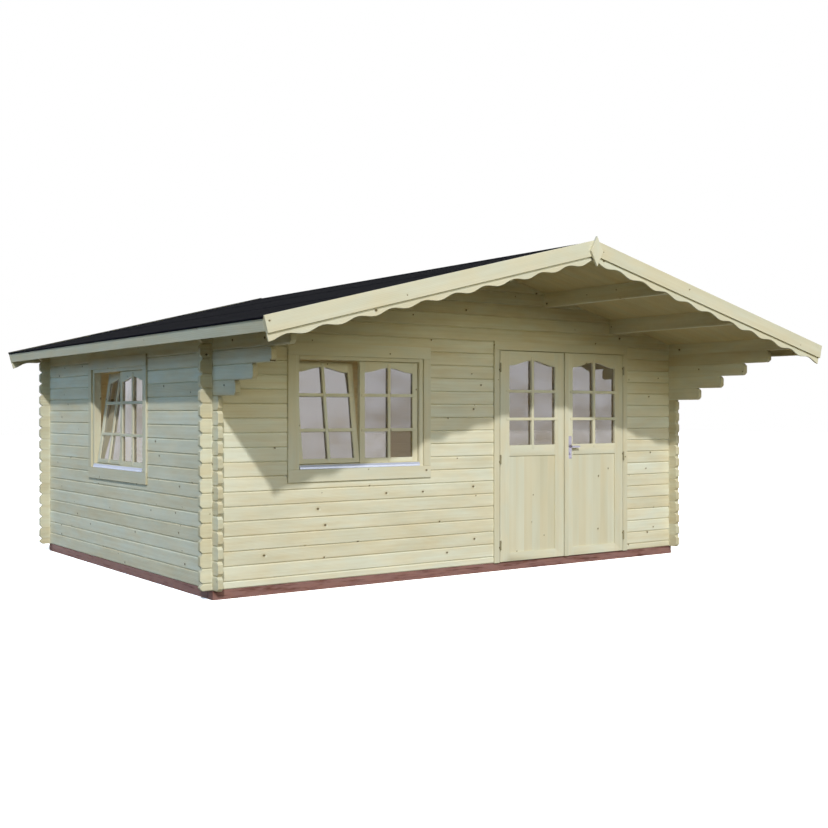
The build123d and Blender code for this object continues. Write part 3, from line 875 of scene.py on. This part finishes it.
class Fibres:
    """Writes the run of the fibres and the character of each board into a piece's mesh."""

    pitch = math.radians(14.08)
    stile_share = 0.155
    sash_share = 0.155 * 0.6
    door_height = 1.5
    end_facing = 0.8
    part_count = 4
    stub_reach = 0.075
    stub_share = 0.55
    axes = {0: (0, 2, 1), 1: (1, 2, 0), 2: (2, 0, 1)}

    @classmethod
    def lay(cls, piece: Piece, grain: Grain) -> None:
        """Write the attributes that the timber finishes read.

        Args:
            piece: Piece to write to.
            grain: How its fibres run.
        """
        mesh = piece.data
        points = cls.read(mesh.vertices, "co", 3).reshape(-1, 3)
        corner_points = cls.read(mesh.loops, "vertex_index", 1, np.int32)
        face_starts = cls.read(mesh.polygons, "loop_start", 1, np.int32)
        face_sizes = cls.read(mesh.polygons, "loop_total", 1, np.int32)
        middles = cls.read(mesh.polygons, "center", 3).reshape(-1, 3)
        normals = cls.read(mesh.polygons, "normal", 3).reshape(-1, 3)
        boards = cls.boards(mesh, len(points))[corner_points[face_starts]]
        frames = np.zeros((len(middles), 3, 3))
        board_ids = boards.astype(np.int64) * cls.part_count
        ends = np.zeros(len(middles))
        for board in np.unique(boards):
            faces = boards == board
            used = np.unique(corner_points[np.repeat(faces, face_sizes)])
            low, high = points[used].min(0), points[used].max(0)
            frames[faces], part = cls.directions(grain, low, high, middles[faces])
            board_ids[faces] += part
            if grain is Grain.LOG:
                along = np.einsum("ij,ij->i", middles[faces], frames[faces, 0])
                from_end = np.minimum(along - along.min(), along.max() - along)
                ends[faces] = np.where(from_end < cls.stub_reach, cls.stub_share, 0.0)
        ends[np.abs(np.einsum("ij,ij->i", normals, frames[:, 0])) > cls.end_facing] = 1.0
        corner_faces = np.repeat(np.arange(len(middles)), face_sizes)
        grain_places = np.einsum("ijk,ik->ij", frames[corner_faces], points[corner_points])
        character = np.zeros((len(middles), 3))
        for index, board in enumerate(np.unique(board_ids)):
            chooser = random.Random(f"{piece.name} {index}")
            character[board_ids == board] = (chooser.random(), 0.0, chooser.random())
        character[:, 1] = ends
        cls.write(mesh, "grain", grain_places)
        cls.write(mesh, "board", character[corner_faces])

    @classmethod
    def stile_limit(cls, height: float) -> float:
        """Return the share of a frame's width that each stile takes, for a door or a lower sash."""
        return cls.stile_share if height > cls.door_height else cls.sash_share

    @classmethod
    def directions(cls, grain: Grain, low: np.ndarray, high: np.ndarray,
                   middles: np.ndarray) -> tuple[np.ndarray, np.ndarray]:
        """Find the directions along, across and through the timber.

        Args:
            grain: How the fibres run.
            low: Lowest corner of the board.
            high: Highest corner of the board.
            middles: Middles of the board's faces.

        Returns:
            Three directions for each face, and which part of the joinery the face is on.
        """
        part = np.zeros(len(middles), np.int64)
        if grain in (Grain.FALL_LEFT, Grain.FALL_RIGHT):
            side = -1.0 if grain is Grain.FALL_LEFT else 1.0
            along = (side * math.cos(cls.pitch), 0.0, -math.sin(cls.pitch))
            across = (side * math.sin(cls.pitch), 0.0, math.cos(cls.pitch))
            return np.broadcast_to(np.array((along, across, (0.0, 1.0, 0.0))), (len(middles), 3, 3)), part
        if grain in (Grain.JOINERY_X, Grain.JOINERY_Y):
            axis = 0 if grain is Grain.JOINERY_X else 1
            share = (middles[:, axis] - low[axis]) / (high[axis] - low[axis])
            limit = cls.stile_limit(high[2] - low[2])
            part = np.where(share < limit, 1, np.where(share > 1 - limit, 2, 0))
            height = (middles[:, 2] - low[2]) / (high[2] - low[2])
            part = np.where((part == 0) & (height > 0.5), 3, part)
            rails = np.eye(3)[list(cls.axes[axis])]
            stiles = np.eye(3)[[2, axis, 1 - axis]]
            upright = ((part == 1) | (part == 2))[:, None, None]
            return np.where(upright, stiles, rails), part
        fixed = {Grain.ALONG_X: 0, Grain.ALONG_Z: 2}
        axis = fixed.get(grain, int(np.argmax(high - low)))
        return np.broadcast_to(np.eye(3)[list(cls.axes[axis])], (len(middles), 3, 3)), part

    @staticmethod
    def boards(mesh: bpy.types.Mesh, count: int) -> np.ndarray:
        """Number the boards of a mesh, each a set of points that edges join.

        Args:
            mesh: Mesh to look at.
            count: How many points it has.

        Returns:
            The lowest point index of each point's board.
        """
        edges = Fibres.read(mesh.edges, "vertices", 2, np.int32).reshape(-1, 2)
        labels = np.arange(count)
        while True:
            lowest = np.minimum(labels[edges[:, 0]], labels[edges[:, 1]])
            fresh = labels.copy()
            np.minimum.at(fresh, edges[:, 0], lowest)
            np.minimum.at(fresh, edges[:, 1], lowest)
            fresh = fresh[fresh]
            if np.array_equal(fresh, labels):
                return labels
            labels = fresh

    @staticmethod
    def read(items: bpy.types.bpy_prop_collection, name: str, width: int,
             kind: type = np.float32) -> np.ndarray:
        """Read one property of many mesh items."""
        values = np.zeros(len(items) * width, kind)
        items.foreach_get(name, values)
        return values

    @staticmethod
    def write(mesh: bpy.types.Mesh, name: str, values: np.ndarray) -> None:
        """Write a vector for each corner of a mesh."""
        attribute = mesh.attributes.new(name, "FLOAT_VECTOR", "CORNER")
        attribute.data.foreach_set("vector", values.astype(np.float32).ravel())


def dress(piece: Piece, finish: TimberFinish | SpeckledFinish, body: Body,
          grain: Grain | None = None, nodes: Sequence[str] = ()) -> Piece:
    """Finish a piece: its material, fibres and body.

    Args:
        piece: Piece to finish.
        finish: Its finish.
        body: Body that it rides on.
        grain: How its fibres run, for timber.
        nodes: Nodes that it stands for.

    Returns:
        The piece.
    """
    if grain is not None:
        Fibres.lay(piece, grain)
    piece.data.materials.clear()
    piece.data.materials.append(finish.material())
    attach(piece, body.value)
    if nodes:
        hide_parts(*nodes)
    LOG.info("%s: %s faces, %s", piece.name, len(piece.data.polygons), finish.name)
    return piece


def dress_copy(node: str, finish: TimberFinish | SpeckledFinish, body: Body, grain: Grain | None,
               softness: float) -> Piece:
    """Replace a node by a copy with rounded edges and a finish.

    Args:
        node: Node to replace.
        finish: Finish of the copy.
        body: Body that it rides on.
        grain: How its fibres run, for timber.
        softness: Width of its rounded edges.

    Returns:
        The copy.
    """
    piece = Bench.copy_of(node, node + "_finished")
    Bench.soften(piece, softness)
    return dress(piece, finish, body, grain, (node,))


@dataclass
class LogWalls:
    """Log walls and gables with eased log ends."""

    softness: float = 0.003
    margin: float = 0.012
    gables: tuple[str, ...] = ("front_gable_logs", "back_gable_logs")

    def build(self) -> None:
        """Build all walls."""
        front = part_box("front_wall_logs_left")[0].y - self.margin
        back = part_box("back_wall_logs")[1].y + self.margin
        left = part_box("left_wall_logs")[0].x - self.margin
        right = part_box("right_wall_logs")[1].x + self.margin
        self.wall("front_wall_logs_left", 0, (left,))
        self.wall("front_wall_logs_right", 0, (right,))
        self.wall("back_wall_logs", 0, (left, right))
        self.wall("left_wall_logs", 1, (front, back))
        self.wall("right_wall_logs", 1, (front, back))
        for node in self.gables:
            dress_copy(node, Finishes.logs, Body.CABIN, Grain.LONGEST, self.softness)

    def wall(self, node: str, axis: int, corners: Sequence[float]) -> None:
        """Build one wall, whose logs get an edge where they pass a corner.

        Args:
            node: Node that the wall replaces.
            axis: Index of the axis along the wall.
            corners: Where its corners lie on that axis.
        """
        logs = Bench.copy_of(node, node + "_finished")
        for corner in corners:
            Bench.cut(logs, axis, corner)
        Bench.soften(logs, self.softness)
        dress(logs, Finishes.logs, Body.CABIN, Grain.LOG, (node,))


@dataclass
class Base:
    """Foundation beams, joists and the boarded floor."""

    softness: float = 0.003
    floor_board: float = 0.115
    board_vee: float = 0.003

    def build(self) -> None:
        """Build the beams and lay the floor."""
        for node in ("foundation_beams", "floor_joists"):
            dress_copy(node, Finishes.treated, Body.CABIN, Grain.LONGEST, self.softness)
        floor = lay_boards("floor", 1, self.floor_board, self.board_vee)
        dress(floor, Finishes.floor, Body.CABIN, Grain.ALONG_X, ("floor",))


def lay_boards(node: str, axis: int, width: float, vee: float = 0.0, vee_side: float = 1.0) -> Piece:
    """Lay a sheet node as boards side by side.

    Args:
        node: Node of the whole sheet.
        axis: Index of the axis that the boards follow each other on.
        width: Wanted width of a board.
        vee: Width of the chamfer that makes half a vee at each joint, or zero for a tight joint.
        vee_side: 1 for vees on the upper face, -1 for the lower face.

    Returns:
        The boards as one piece.
    """
    low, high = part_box(node)
    count = round((high[axis] - low[axis]) / width)
    pitch = (high[axis] - low[axis]) / count
    piece = Bench.copy_of(node, node + "_laid")
    Bench.cut(piece, axis, low[axis] + pitch, keep_below=True)
    if vee > 0.0:
        Bench.chamfer_joints(piece, axis, vee, vee_side)
    step = [0.0, 0.0, 0.0]
    step[axis] = pitch
    Bench.apply(piece, "ARRAY", count=count, use_relative_offset=False, use_constant_offset=True,
                constant_offset_displace=step)
    return piece


@dataclass
class Roof:
    """Roof boards, purlins, felt with laps, and the boards along the eaves and gables."""

    board_width: float = 0.09
    board_vee: float = 0.002
    softness: float = 0.003
    felt_softness: float = 0.0012
    lap_places: tuple[float, ...] = (0.98, 1.95)
    lap_width: float = 0.09
    lap_rise: float = 0.002
    ridge_cap: float = 0.20
    edge_strip: float = 0.030
    edge_reach: float = 0.018
    edge_rise: float = 0.0086

    def build(self) -> None:
        """Build the whole roof."""
        for side in ("left", "right"):
            fall = Grain.FALL_LEFT if side == "left" else Grain.FALL_RIGHT
            boards = lay_boards("roof_boards_" + side, 1, self.board_width, self.board_vee, -1.0)
            dress(boards, Finishes.boards, Body.CABIN, fall, ("roof_boards_" + side,))
            self.felt(side)
            for end in ("front", "back"):
                for board in ("barge", "scalloped"):
                    dress_copy(f"{end}_{board}_board_{side}", Finishes.trim, Body.CABIN, fall, self.softness)
        for node in ("ridge_purlin", "side_purlins", "eave_boards"):
            dress_copy(node, Finishes.logs if "purlin" in node else Finishes.trim, Body.CABIN, Grain.LONGEST,
                       self.softness)
        for node in ("front_apex_diamond", "back_apex_diamond"):
            dress_copy(node, Finishes.trim, Body.CABIN, Grain.ALONG_Z, self.softness)

    def felt(self, side: str) -> None:
        """Cover one slope with felt: raised laps, a ridge cap and a strip over the back barge board.

        Args:
            side: Which slope.
        """
        node = "roof_felt_" + side
        sign = -1.0 if side == "left" else 1.0
        sheets = [Bench.copy_of(node, node + "_sheet")]
        Bench.soften(sheets[0], self.felt_softness, 1)
        spans = [(place, place + self.lap_width) for place in self.lap_places] + [(0.0, self.ridge_cap)]
        for index, (start, end) in enumerate(spans):
            strip = Bench.copy_of(node, f"{node}_lap_{index}")
            if start > 0.0:
                Bench.cut(strip, 0, sign * start, keep_below=sign < 0)
            Bench.cut(strip, 0, sign * end, keep_below=sign > 0)
            Bench.move(strip, Matrix.Translation((0.0, 0.0, self.lap_rise)))
            Bench.soften(strip, self.felt_softness, 1)
            sheets.append(strip)
        edge = Bench.copy_of(node, node + "_edge")
        Bench.cut(edge, 1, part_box(node)[1].y - self.edge_strip, keep_below=False)
        Bench.move(edge, Matrix.Translation((0.0, self.edge_reach, self.edge_rise)))
        Bench.soften(edge, self.felt_softness, 1)
        sheets.append(edge)
        dress(Bench.join(sheets, node + "_finished"), Finishes.felt, Body.CABIN, None, (node,))


@dataclass
class Bars:
    """Glazing bars of one pane: an upright and two cross bars on each face, lapping over the wood."""

    left: float
    right: float
    bottom: float
    top: float
    crossings: tuple[float, float]
    outer: tuple[float, float]
    inner: tuple[float, float]
    width: float = 0.027
    lap: float = 0.034
    rounding: float = 0.004

    def build(self, name: str) -> Piece:
        """Build the bars in the pane's own frame.

        Args:
            name: Name of the piece.

        Returns:
            The bars as one piece.
        """
        middle = (self.left + self.right) / 2
        half = self.width / 2
        halves = ((self.left - self.lap, middle - half), (middle + half, self.right + self.lap))
        bars = []
        for near, far in (self.outer, self.inner):
            bars.append(self.bar(name, (middle - half, near, self.bottom - self.lap),
                                 (middle + half, far, self.top + self.lap)))
            for height in self.crossings:
                for start, end in halves:
                    bars.append(self.bar(name, (start, near, height - half), (end, far, height + half)))
        return Bench.join(bars, name)

    def bar(self, name: str, low: Sequence[float], high: Sequence[float]) -> Piece:
        """Shape one bar with rounded edges.

        Args:
            name: Name of the piece.
            low: Lowest corner.
            high: Highest corner.

        Returns:
            The bar.
        """
        bar = Bench.block(name, low, high)
        Bench.soften(bar, self.rounding)
        return bar


@dataclass
class WindowUnit:
    """One window: frame, trim, drip strip, sashes, panes and glazing bars."""

    name: str
    place: Matrix
    grain: Grain
    softness: float = 0.0025
    half_width: float = 0.590
    sash_gap: float = 0.002
    stile: float = 0.050
    pane_bottom: float = 0.122
    pane_top: float = 0.877
    crossings: tuple[float, float] = (0.355, 0.645)
    bar_outer: tuple[float, float] = (0.022, 0.0412)
    bar_inner: tuple[float, float] = (0.0468, 0.070)
    tilt: float = math.radians(8.0)
    pivot: Place = (0.0, 0.065, 0.082)
    drip_stretch: float = 1.4

    def build(self) -> None:
        """Build the window."""
        for part in ("frame", "trim"):
            dress_copy(f"{self.name}_{part}", Finishes.trim, Body.CABIN, Grain.LONGEST, self.softness)
        self.drip_strip()
        sashes = dress_copy(self.name + "_sashes", Finishes.trim, Body.CABIN, None, self.softness)
        split_joints(sashes, self.grain)
        Fibres.lay(sashes, self.grain)
        glaze(self.name + "_glass")
        turn = Matrix.Rotation(-self.tilt, 4, "X")
        tilted = Matrix.Translation(self.pivot) @ turn @ Matrix.Translation(-Vector(self.pivot))
        self.bars("left", -self.half_width + self.sash_gap, -self.sash_gap / 2, self.place @ tilted)
        self.bars("right", self.sash_gap / 2, self.half_width - self.sash_gap, self.place)

    def drip_strip(self) -> None:
        """Draw the drip strip up to the sashes."""
        node = self.name + "_drip_strip"
        strip = Bench.copy_of(node, node + "_drawn")
        with Bench.edit(strip):
            bpy.ops.transform.resize(value=(1.0, 1.0, self.drip_stretch), center_override=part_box(node)[0])
        Bench.soften(strip, self.softness)
        dress(strip, Finishes.drip, Body.CABIN, None, (node,))

    def bars(self, hand: str, left: float, right: float, place: Matrix) -> None:
        """Fit the glazing bars of one sash.

        Args:
            hand: Which sash.
            left: Left edge of the sash.
            right: Right edge of the sash.
            place: Place of the sash.
        """
        bars = Bars(left + self.stile, right - self.stile, self.pane_bottom, self.pane_top, self.crossings,
                    self.bar_outer, self.bar_inner).build(f"{self.name}_bars_{hand}")
        Bench.move(bars, place)
        dress(bars, Finishes.trim, Body.CABIN, Grain.LONGEST)


def split_joints(piece: Piece, grain: Grain) -> None:
    """Add the joint lines between stiles and rails to each frame of a piece.

    Args:
        piece: Piece with one or more frames.
        grain: Which way the frames lie.
    """
    axis = 0 if grain is Grain.JOINERY_X else 1
    points = Fibres.read(piece.data.vertices, "co", 3).reshape(-1, 3)
    labels = Fibres.boards(piece.data, len(points))
    for label in np.unique(labels):
        own = points[labels == label]
        low, high = own.min(0), own.max(0)
        inset = Fibres.stile_limit(high[2] - low[2]) * (high[axis] - low[axis])
        for place in (low[axis] + inset, high[axis] - inset):
            Bench.cut(piece, axis, float(place))


def glaze(node: str) -> None:
    """Give a pane its glass.

    Args:
        node: Node of the pane.
    """
    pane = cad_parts[node]
    for slot in pane.material_slots:
        slot.material = Finishes.glass.material()
    LOG.info("%s: %s", node, Finishes.glass.name)


@dataclass
class Doorway:
    """Door frame, stops, threshold, trim and the hinge halves on it."""

    softness: float = 0.0025
    hinge_softness: float = 0.0006

    def build(self) -> None:
        """Build the doorway."""
        for node in ("door_frame", "door_stops", "door_threshold", "door_trim"):
            dress_copy(node, Finishes.trim, Body.CABIN, Grain.LONGEST, self.softness)
        dress_copy("doorway_hinges", Finishes.zinc, Body.CABIN, None, self.hinge_softness)


@dataclass
class DoorLeaf:
    """One door leaf: frame, boarded panel, pane, glazing bars and hinge halves."""

    side: str
    body: Body
    softness: float = 0.0025
    hinge_softness: float = 0.0006
    stile: float = 0.108
    panel_board: float = 0.095
    pane_bottom: float = 1.133
    pane_top: float = 1.910
    crossings: tuple[float, float] = (1.371, 1.625)
    bar_setback: float = -0.004
    glass_setback: float = 0.0232
    glass_back: float = 0.0288
    bar_back: float = 0.042

    def build(self) -> None:
        """Build the leaf."""
        name = self.side + "_door"
        leaf = dress_copy(name + "_frame", Finishes.trim, self.body, None, self.softness)
        split_joints(leaf, Grain.JOINERY_X)
        Fibres.lay(leaf, Grain.JOINERY_X)
        self.panel(name)
        glaze(name + "_glass")
        low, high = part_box(name + "_frame")
        bars = Bars(low.x + self.stile, high.x - self.stile, self.pane_bottom, self.pane_top, self.crossings,
                    (low.y + self.bar_setback, low.y + self.glass_setback),
                    (low.y + self.glass_back, low.y + self.bar_back)).build(name + "_bars")
        dress(bars, Finishes.trim, self.body, Grain.LONGEST)
        dress_copy(name + "_hinges", Finishes.zinc, self.body, None, self.hinge_softness)

    def panel(self, name: str) -> None:
        """Lay the panel as glued boards, each with its own fibres.

        Args:
            name: Name of the leaf.
        """
        node = name + "_panel"
        panel = lay_boards(node, 0, self.panel_board)
        dress(panel, Finishes.panel, self.body, Grain.ALONG_Z, (node,))


@dataclass
class Handle:
    """Lever handle, its plates with screws, and the cover strip beside it."""

    softness: float = 0.0015
    plate_width: float = 0.042
    plate_thickness: float = 0.004
    screw_inset: float = 0.012

    def build(self) -> None:
        """Build the handle."""
        dress_copy("door_cover_strip", Finishes.trim, Body.RIGHT_DOOR, Grain.ALONG_Z, self.softness)
        dress_copy("handle_plates", Finishes.steel, Body.RIGHT_DOOR, None, self.softness / 2)
        dress_copy("door_lever", Finishes.steel, Body.LEVER, None, self.softness)
        low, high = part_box("handle_plates")
        middle = low.x + self.plate_width / 2
        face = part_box("right_door_frame")[0].y - self.plate_thickness
        places = [Vector((middle, face, height))
                  for height in (low.z + self.screw_inset, high.z - self.screw_inset)]
        Screws().drive("handle_screws", places, Body.RIGHT_DOOR)


@dataclass
class Screws:
    """Countersunk screws in the handle plate."""

    radius: float = 0.0036
    stand: float = 0.0006
    sides: int = 10
    socket_share: float = 0.55
    socket_depth: float = 0.0008
    facing: float = 0.9

    def head(self) -> Piece:
        """Shape one screw head that faces the front.

        Returns:
            The screw head, at the origin.
        """
        bpy.ops.object.select_all(action="DESELECT")
        bpy.ops.mesh.primitive_cylinder_add(vertices=self.sides, radius=self.radius, depth=2 * self.stand,
                                            rotation=(math.pi / 2, 0.0, 0.0))
        head = bpy.context.object
        bpy.ops.object.transform_apply(location=True, rotation=True, scale=True)
        Bench.pick_faces(head, lambda middle, normal: normal.y < -self.facing)
        with Bench.edit(head, "FACE"):
            bpy.ops.mesh.inset(thickness=self.radius * (1 - self.socket_share))
            bpy.ops.mesh.extrude_region_move(TRANSFORM_OT_translate={"value": (0.0, self.socket_depth, 0.0)})
        return head

    def drive(self, name: str, places: Sequence[Vector], body: Body) -> None:
        """Put screws with their heads at places on one body."""
        screws = Bench.copies(self.head(), [Matrix.Translation(place) for place in places], name)
        dress(screws, Finishes.steel, body)


def aim(holder: Piece, direction: Vector) -> None:
    """Turn a lamp to shine along a direction."""
    holder.rotation_euler = direction.to_track_quat("-Z", "Y").to_euler()


@dataclass(frozen=True)
class SoftBox:
    """A wide soft lamp that only lights."""

    name: str
    place: Place
    target: Place
    size: tuple[float, float]
    colour: Colour
    power: float

    def hang(self) -> None:
        """Hang the lamp."""
        lamp = bpy.data.lights.new(self.name, "AREA")
        lamp.shape = "RECTANGLE"
        lamp.size, lamp.size_y = self.size
        lamp.energy = self.power
        lamp.color = self.colour
        holder = add_object(self.name, lamp)
        holder.location = self.place
        aim(holder, Vector(self.target) - Vector(self.place))
        holder.visible_camera = False
        holder.visible_glossy = False
        holder.visible_transmission = False


@dataclass
class Studio:
    """Camera, floor, background and light."""

    camera_place: Place = (-6.3407, -9.2736, 1.4344)
    camera_turn: float = math.radians(-35.381)
    sensor: float = 36.0
    lens: float = 49.79
    shift: float = -0.00226
    sun_travel: Place = (0.559, 1.0, -0.744)
    white: Colour = (1.0, 1.0, 1.0)
    sun_strength: float = 2.1
    sun_width: float = math.radians(1.5)
    sky_colour: Colour = (1.0, 0.98, 0.9)
    sky_strength: float = 0.09
    boxes: tuple[SoftBox, ...] = (
        SoftBox("front_box", (-1.0, -16.0, 4.9), (-0.5, -1.0, 1.4), (16.0, 4.0), (1.0, 0.967, 0.643), 725.0),
        SoftBox("front_sky", (-2.0, -15.0, 7.4), (-0.5, -1.0, 1.3), (15.0, 4.5), (0.50, 0.647, 1.0), 583.0),
        SoftBox("side_sky", (-14.5, 1.5, 5.6), (-2.5, 0.6, 1.3), (12.0, 5.0), (0.355, 0.636, 0.98), 560.0),
        SoftBox("back_box", (11.0, 13.0, 6.0), (0.5, 0.5, 1.3), (14.0, 6.0), (1.0, 0.99, 0.96), 1400.0),
        SoftBox("room_box", (0.0, 0.7, 2.05), (0.0, 0.7, 0.0), (3.0, 2.0), (1.0, 0.86, 0.64), 22.0),
    )
    floor_size: float = 120.0
    floor_camera: Colour = (3.0, 3.0, 3.0)
    floor_bounce: Colour = (0.12, 0.10, 0.055)

    def build(self) -> None:
        """Set the stage and the view."""
        scene = bpy.context.scene
        scene.view_settings.view_transform = "Standard"
        self.floor()
        self.sky(scene)
        self.sun()
        for box in self.boxes:
            box.hang()
        self.camera(scene)

    @staticmethod
    def seen(graph: Graph) -> Socket:
        """Tell rays that show the background from those that light the object.

        Args:
            graph: Graph that gets the nodes.

        Returns:
            One for camera, glossy and transmission rays, zero otherwise.
        """
        path = graph.node("ShaderNodeLightPath").outputs
        shown = graph.maths("MAXIMUM", path["Is Camera Ray"], path["Is Glossy Ray"])
        return graph.maths("MAXIMUM", shown, path["Is Transmission Ray"])

    def floor(self) -> None:
        """Lay the pale floor."""
        bpy.ops.object.select_all(action="DESELECT")
        bpy.ops.mesh.primitive_plane_add(size=self.floor_size)
        floor = bpy.context.object
        floor.name = "floor_plane"
        material = bpy.data.materials.new("pale_floor")
        graph = Graph.emptied(material)
        colour = graph.blend(self.seen(graph), self.floor_bounce, self.floor_camera)
        shader = graph.feed_all(graph.node("ShaderNodeBsdfDiffuse"), {"Color": colour})
        graph.feed_all(graph.node("ShaderNodeOutputMaterial"), {"Surface": shader.outputs[0]})
        floor.data.materials.append(material)

    def sky(self, scene: bpy.types.Scene) -> None:
        """Make the white background and the soft light from the sky.

        Args:
            scene: Scene that gets the world.
        """
        world = bpy.data.worlds.new("studio_sky")
        scene.world = world
        graph = Graph.emptied(world)
        light = graph.feed_all(graph.node("ShaderNodeBackground"), {
            "Color": self.sky_colour, "Strength": self.sky_strength})
        white = graph.feed_all(graph.node("ShaderNodeBackground"), {"Color": self.white, "Strength": 1.0})
        mixed = graph.feed_all(graph.node("ShaderNodeMixShader"), {
            0: self.seen(graph), 1: light.outputs[0], 2: white.outputs[0]})
        graph.feed_all(graph.node("ShaderNodeOutputWorld"), {"Surface": mixed.outputs[0]})

    def sun(self) -> None:
        """Hang the main light."""
        lamp = bpy.data.lights.new("main_light", "SUN")
        lamp.energy = self.sun_strength
        lamp.color = self.white
        lamp.angle = self.sun_width
        aim(add_object("main_light", lamp), Vector(self.sun_travel))

    def camera(self, scene: bpy.types.Scene) -> None:
        """Place the camera.

        Args:
            scene: Scene that gets the camera.
        """
        data = bpy.data.cameras.new("camera")
        data.lens = self.lens
        data.sensor_width = self.sensor
        data.shift_y = self.shift
        camera = add_object("camera", data)
        camera.location = self.camera_place
        camera.rotation_euler = (math.pi / 2, 0.0, self.camera_turn)
        scene.camera = camera


def window_places() -> tuple[Matrix, Matrix]:
    """Find where the two windows sit.

    Returns:
        Place of the front window and of the left window, from the middle of the cut-out's base.
    """
    fit = 0.001
    low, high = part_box("front_window_frame")
    front = Matrix.Translation(((low.x + high.x) / 2, low.y, low.z - fit))
    low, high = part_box("left_window_frame")
    side = Matrix.Translation((low.x, (low.y + high.y) / 2, low.z - fit))
    return front, side @ Matrix.Rotation(-math.pi / 2, 4, "Z")


def main() -> None:
    """Build the cabin's looks in order."""
    logging.basicConfig(level=logging.INFO, format="%(name)s %(message)s")
    front_place, side_place = window_places()
    LogWalls().build()
    Base().build()
    Roof().build()
    WindowUnit("front_window", front_place, Grain.JOINERY_X).build()
    WindowUnit("left_window", side_place, Grain.JOINERY_Y).build()
    Doorway().build()
    DoorLeaf("left", Body.LEFT_DOOR).build()
    DoorLeaf("right", Body.RIGHT_DOOR).build()
    Handle().build()
    Studio().build()


if __name__ == "__main__":
    main()
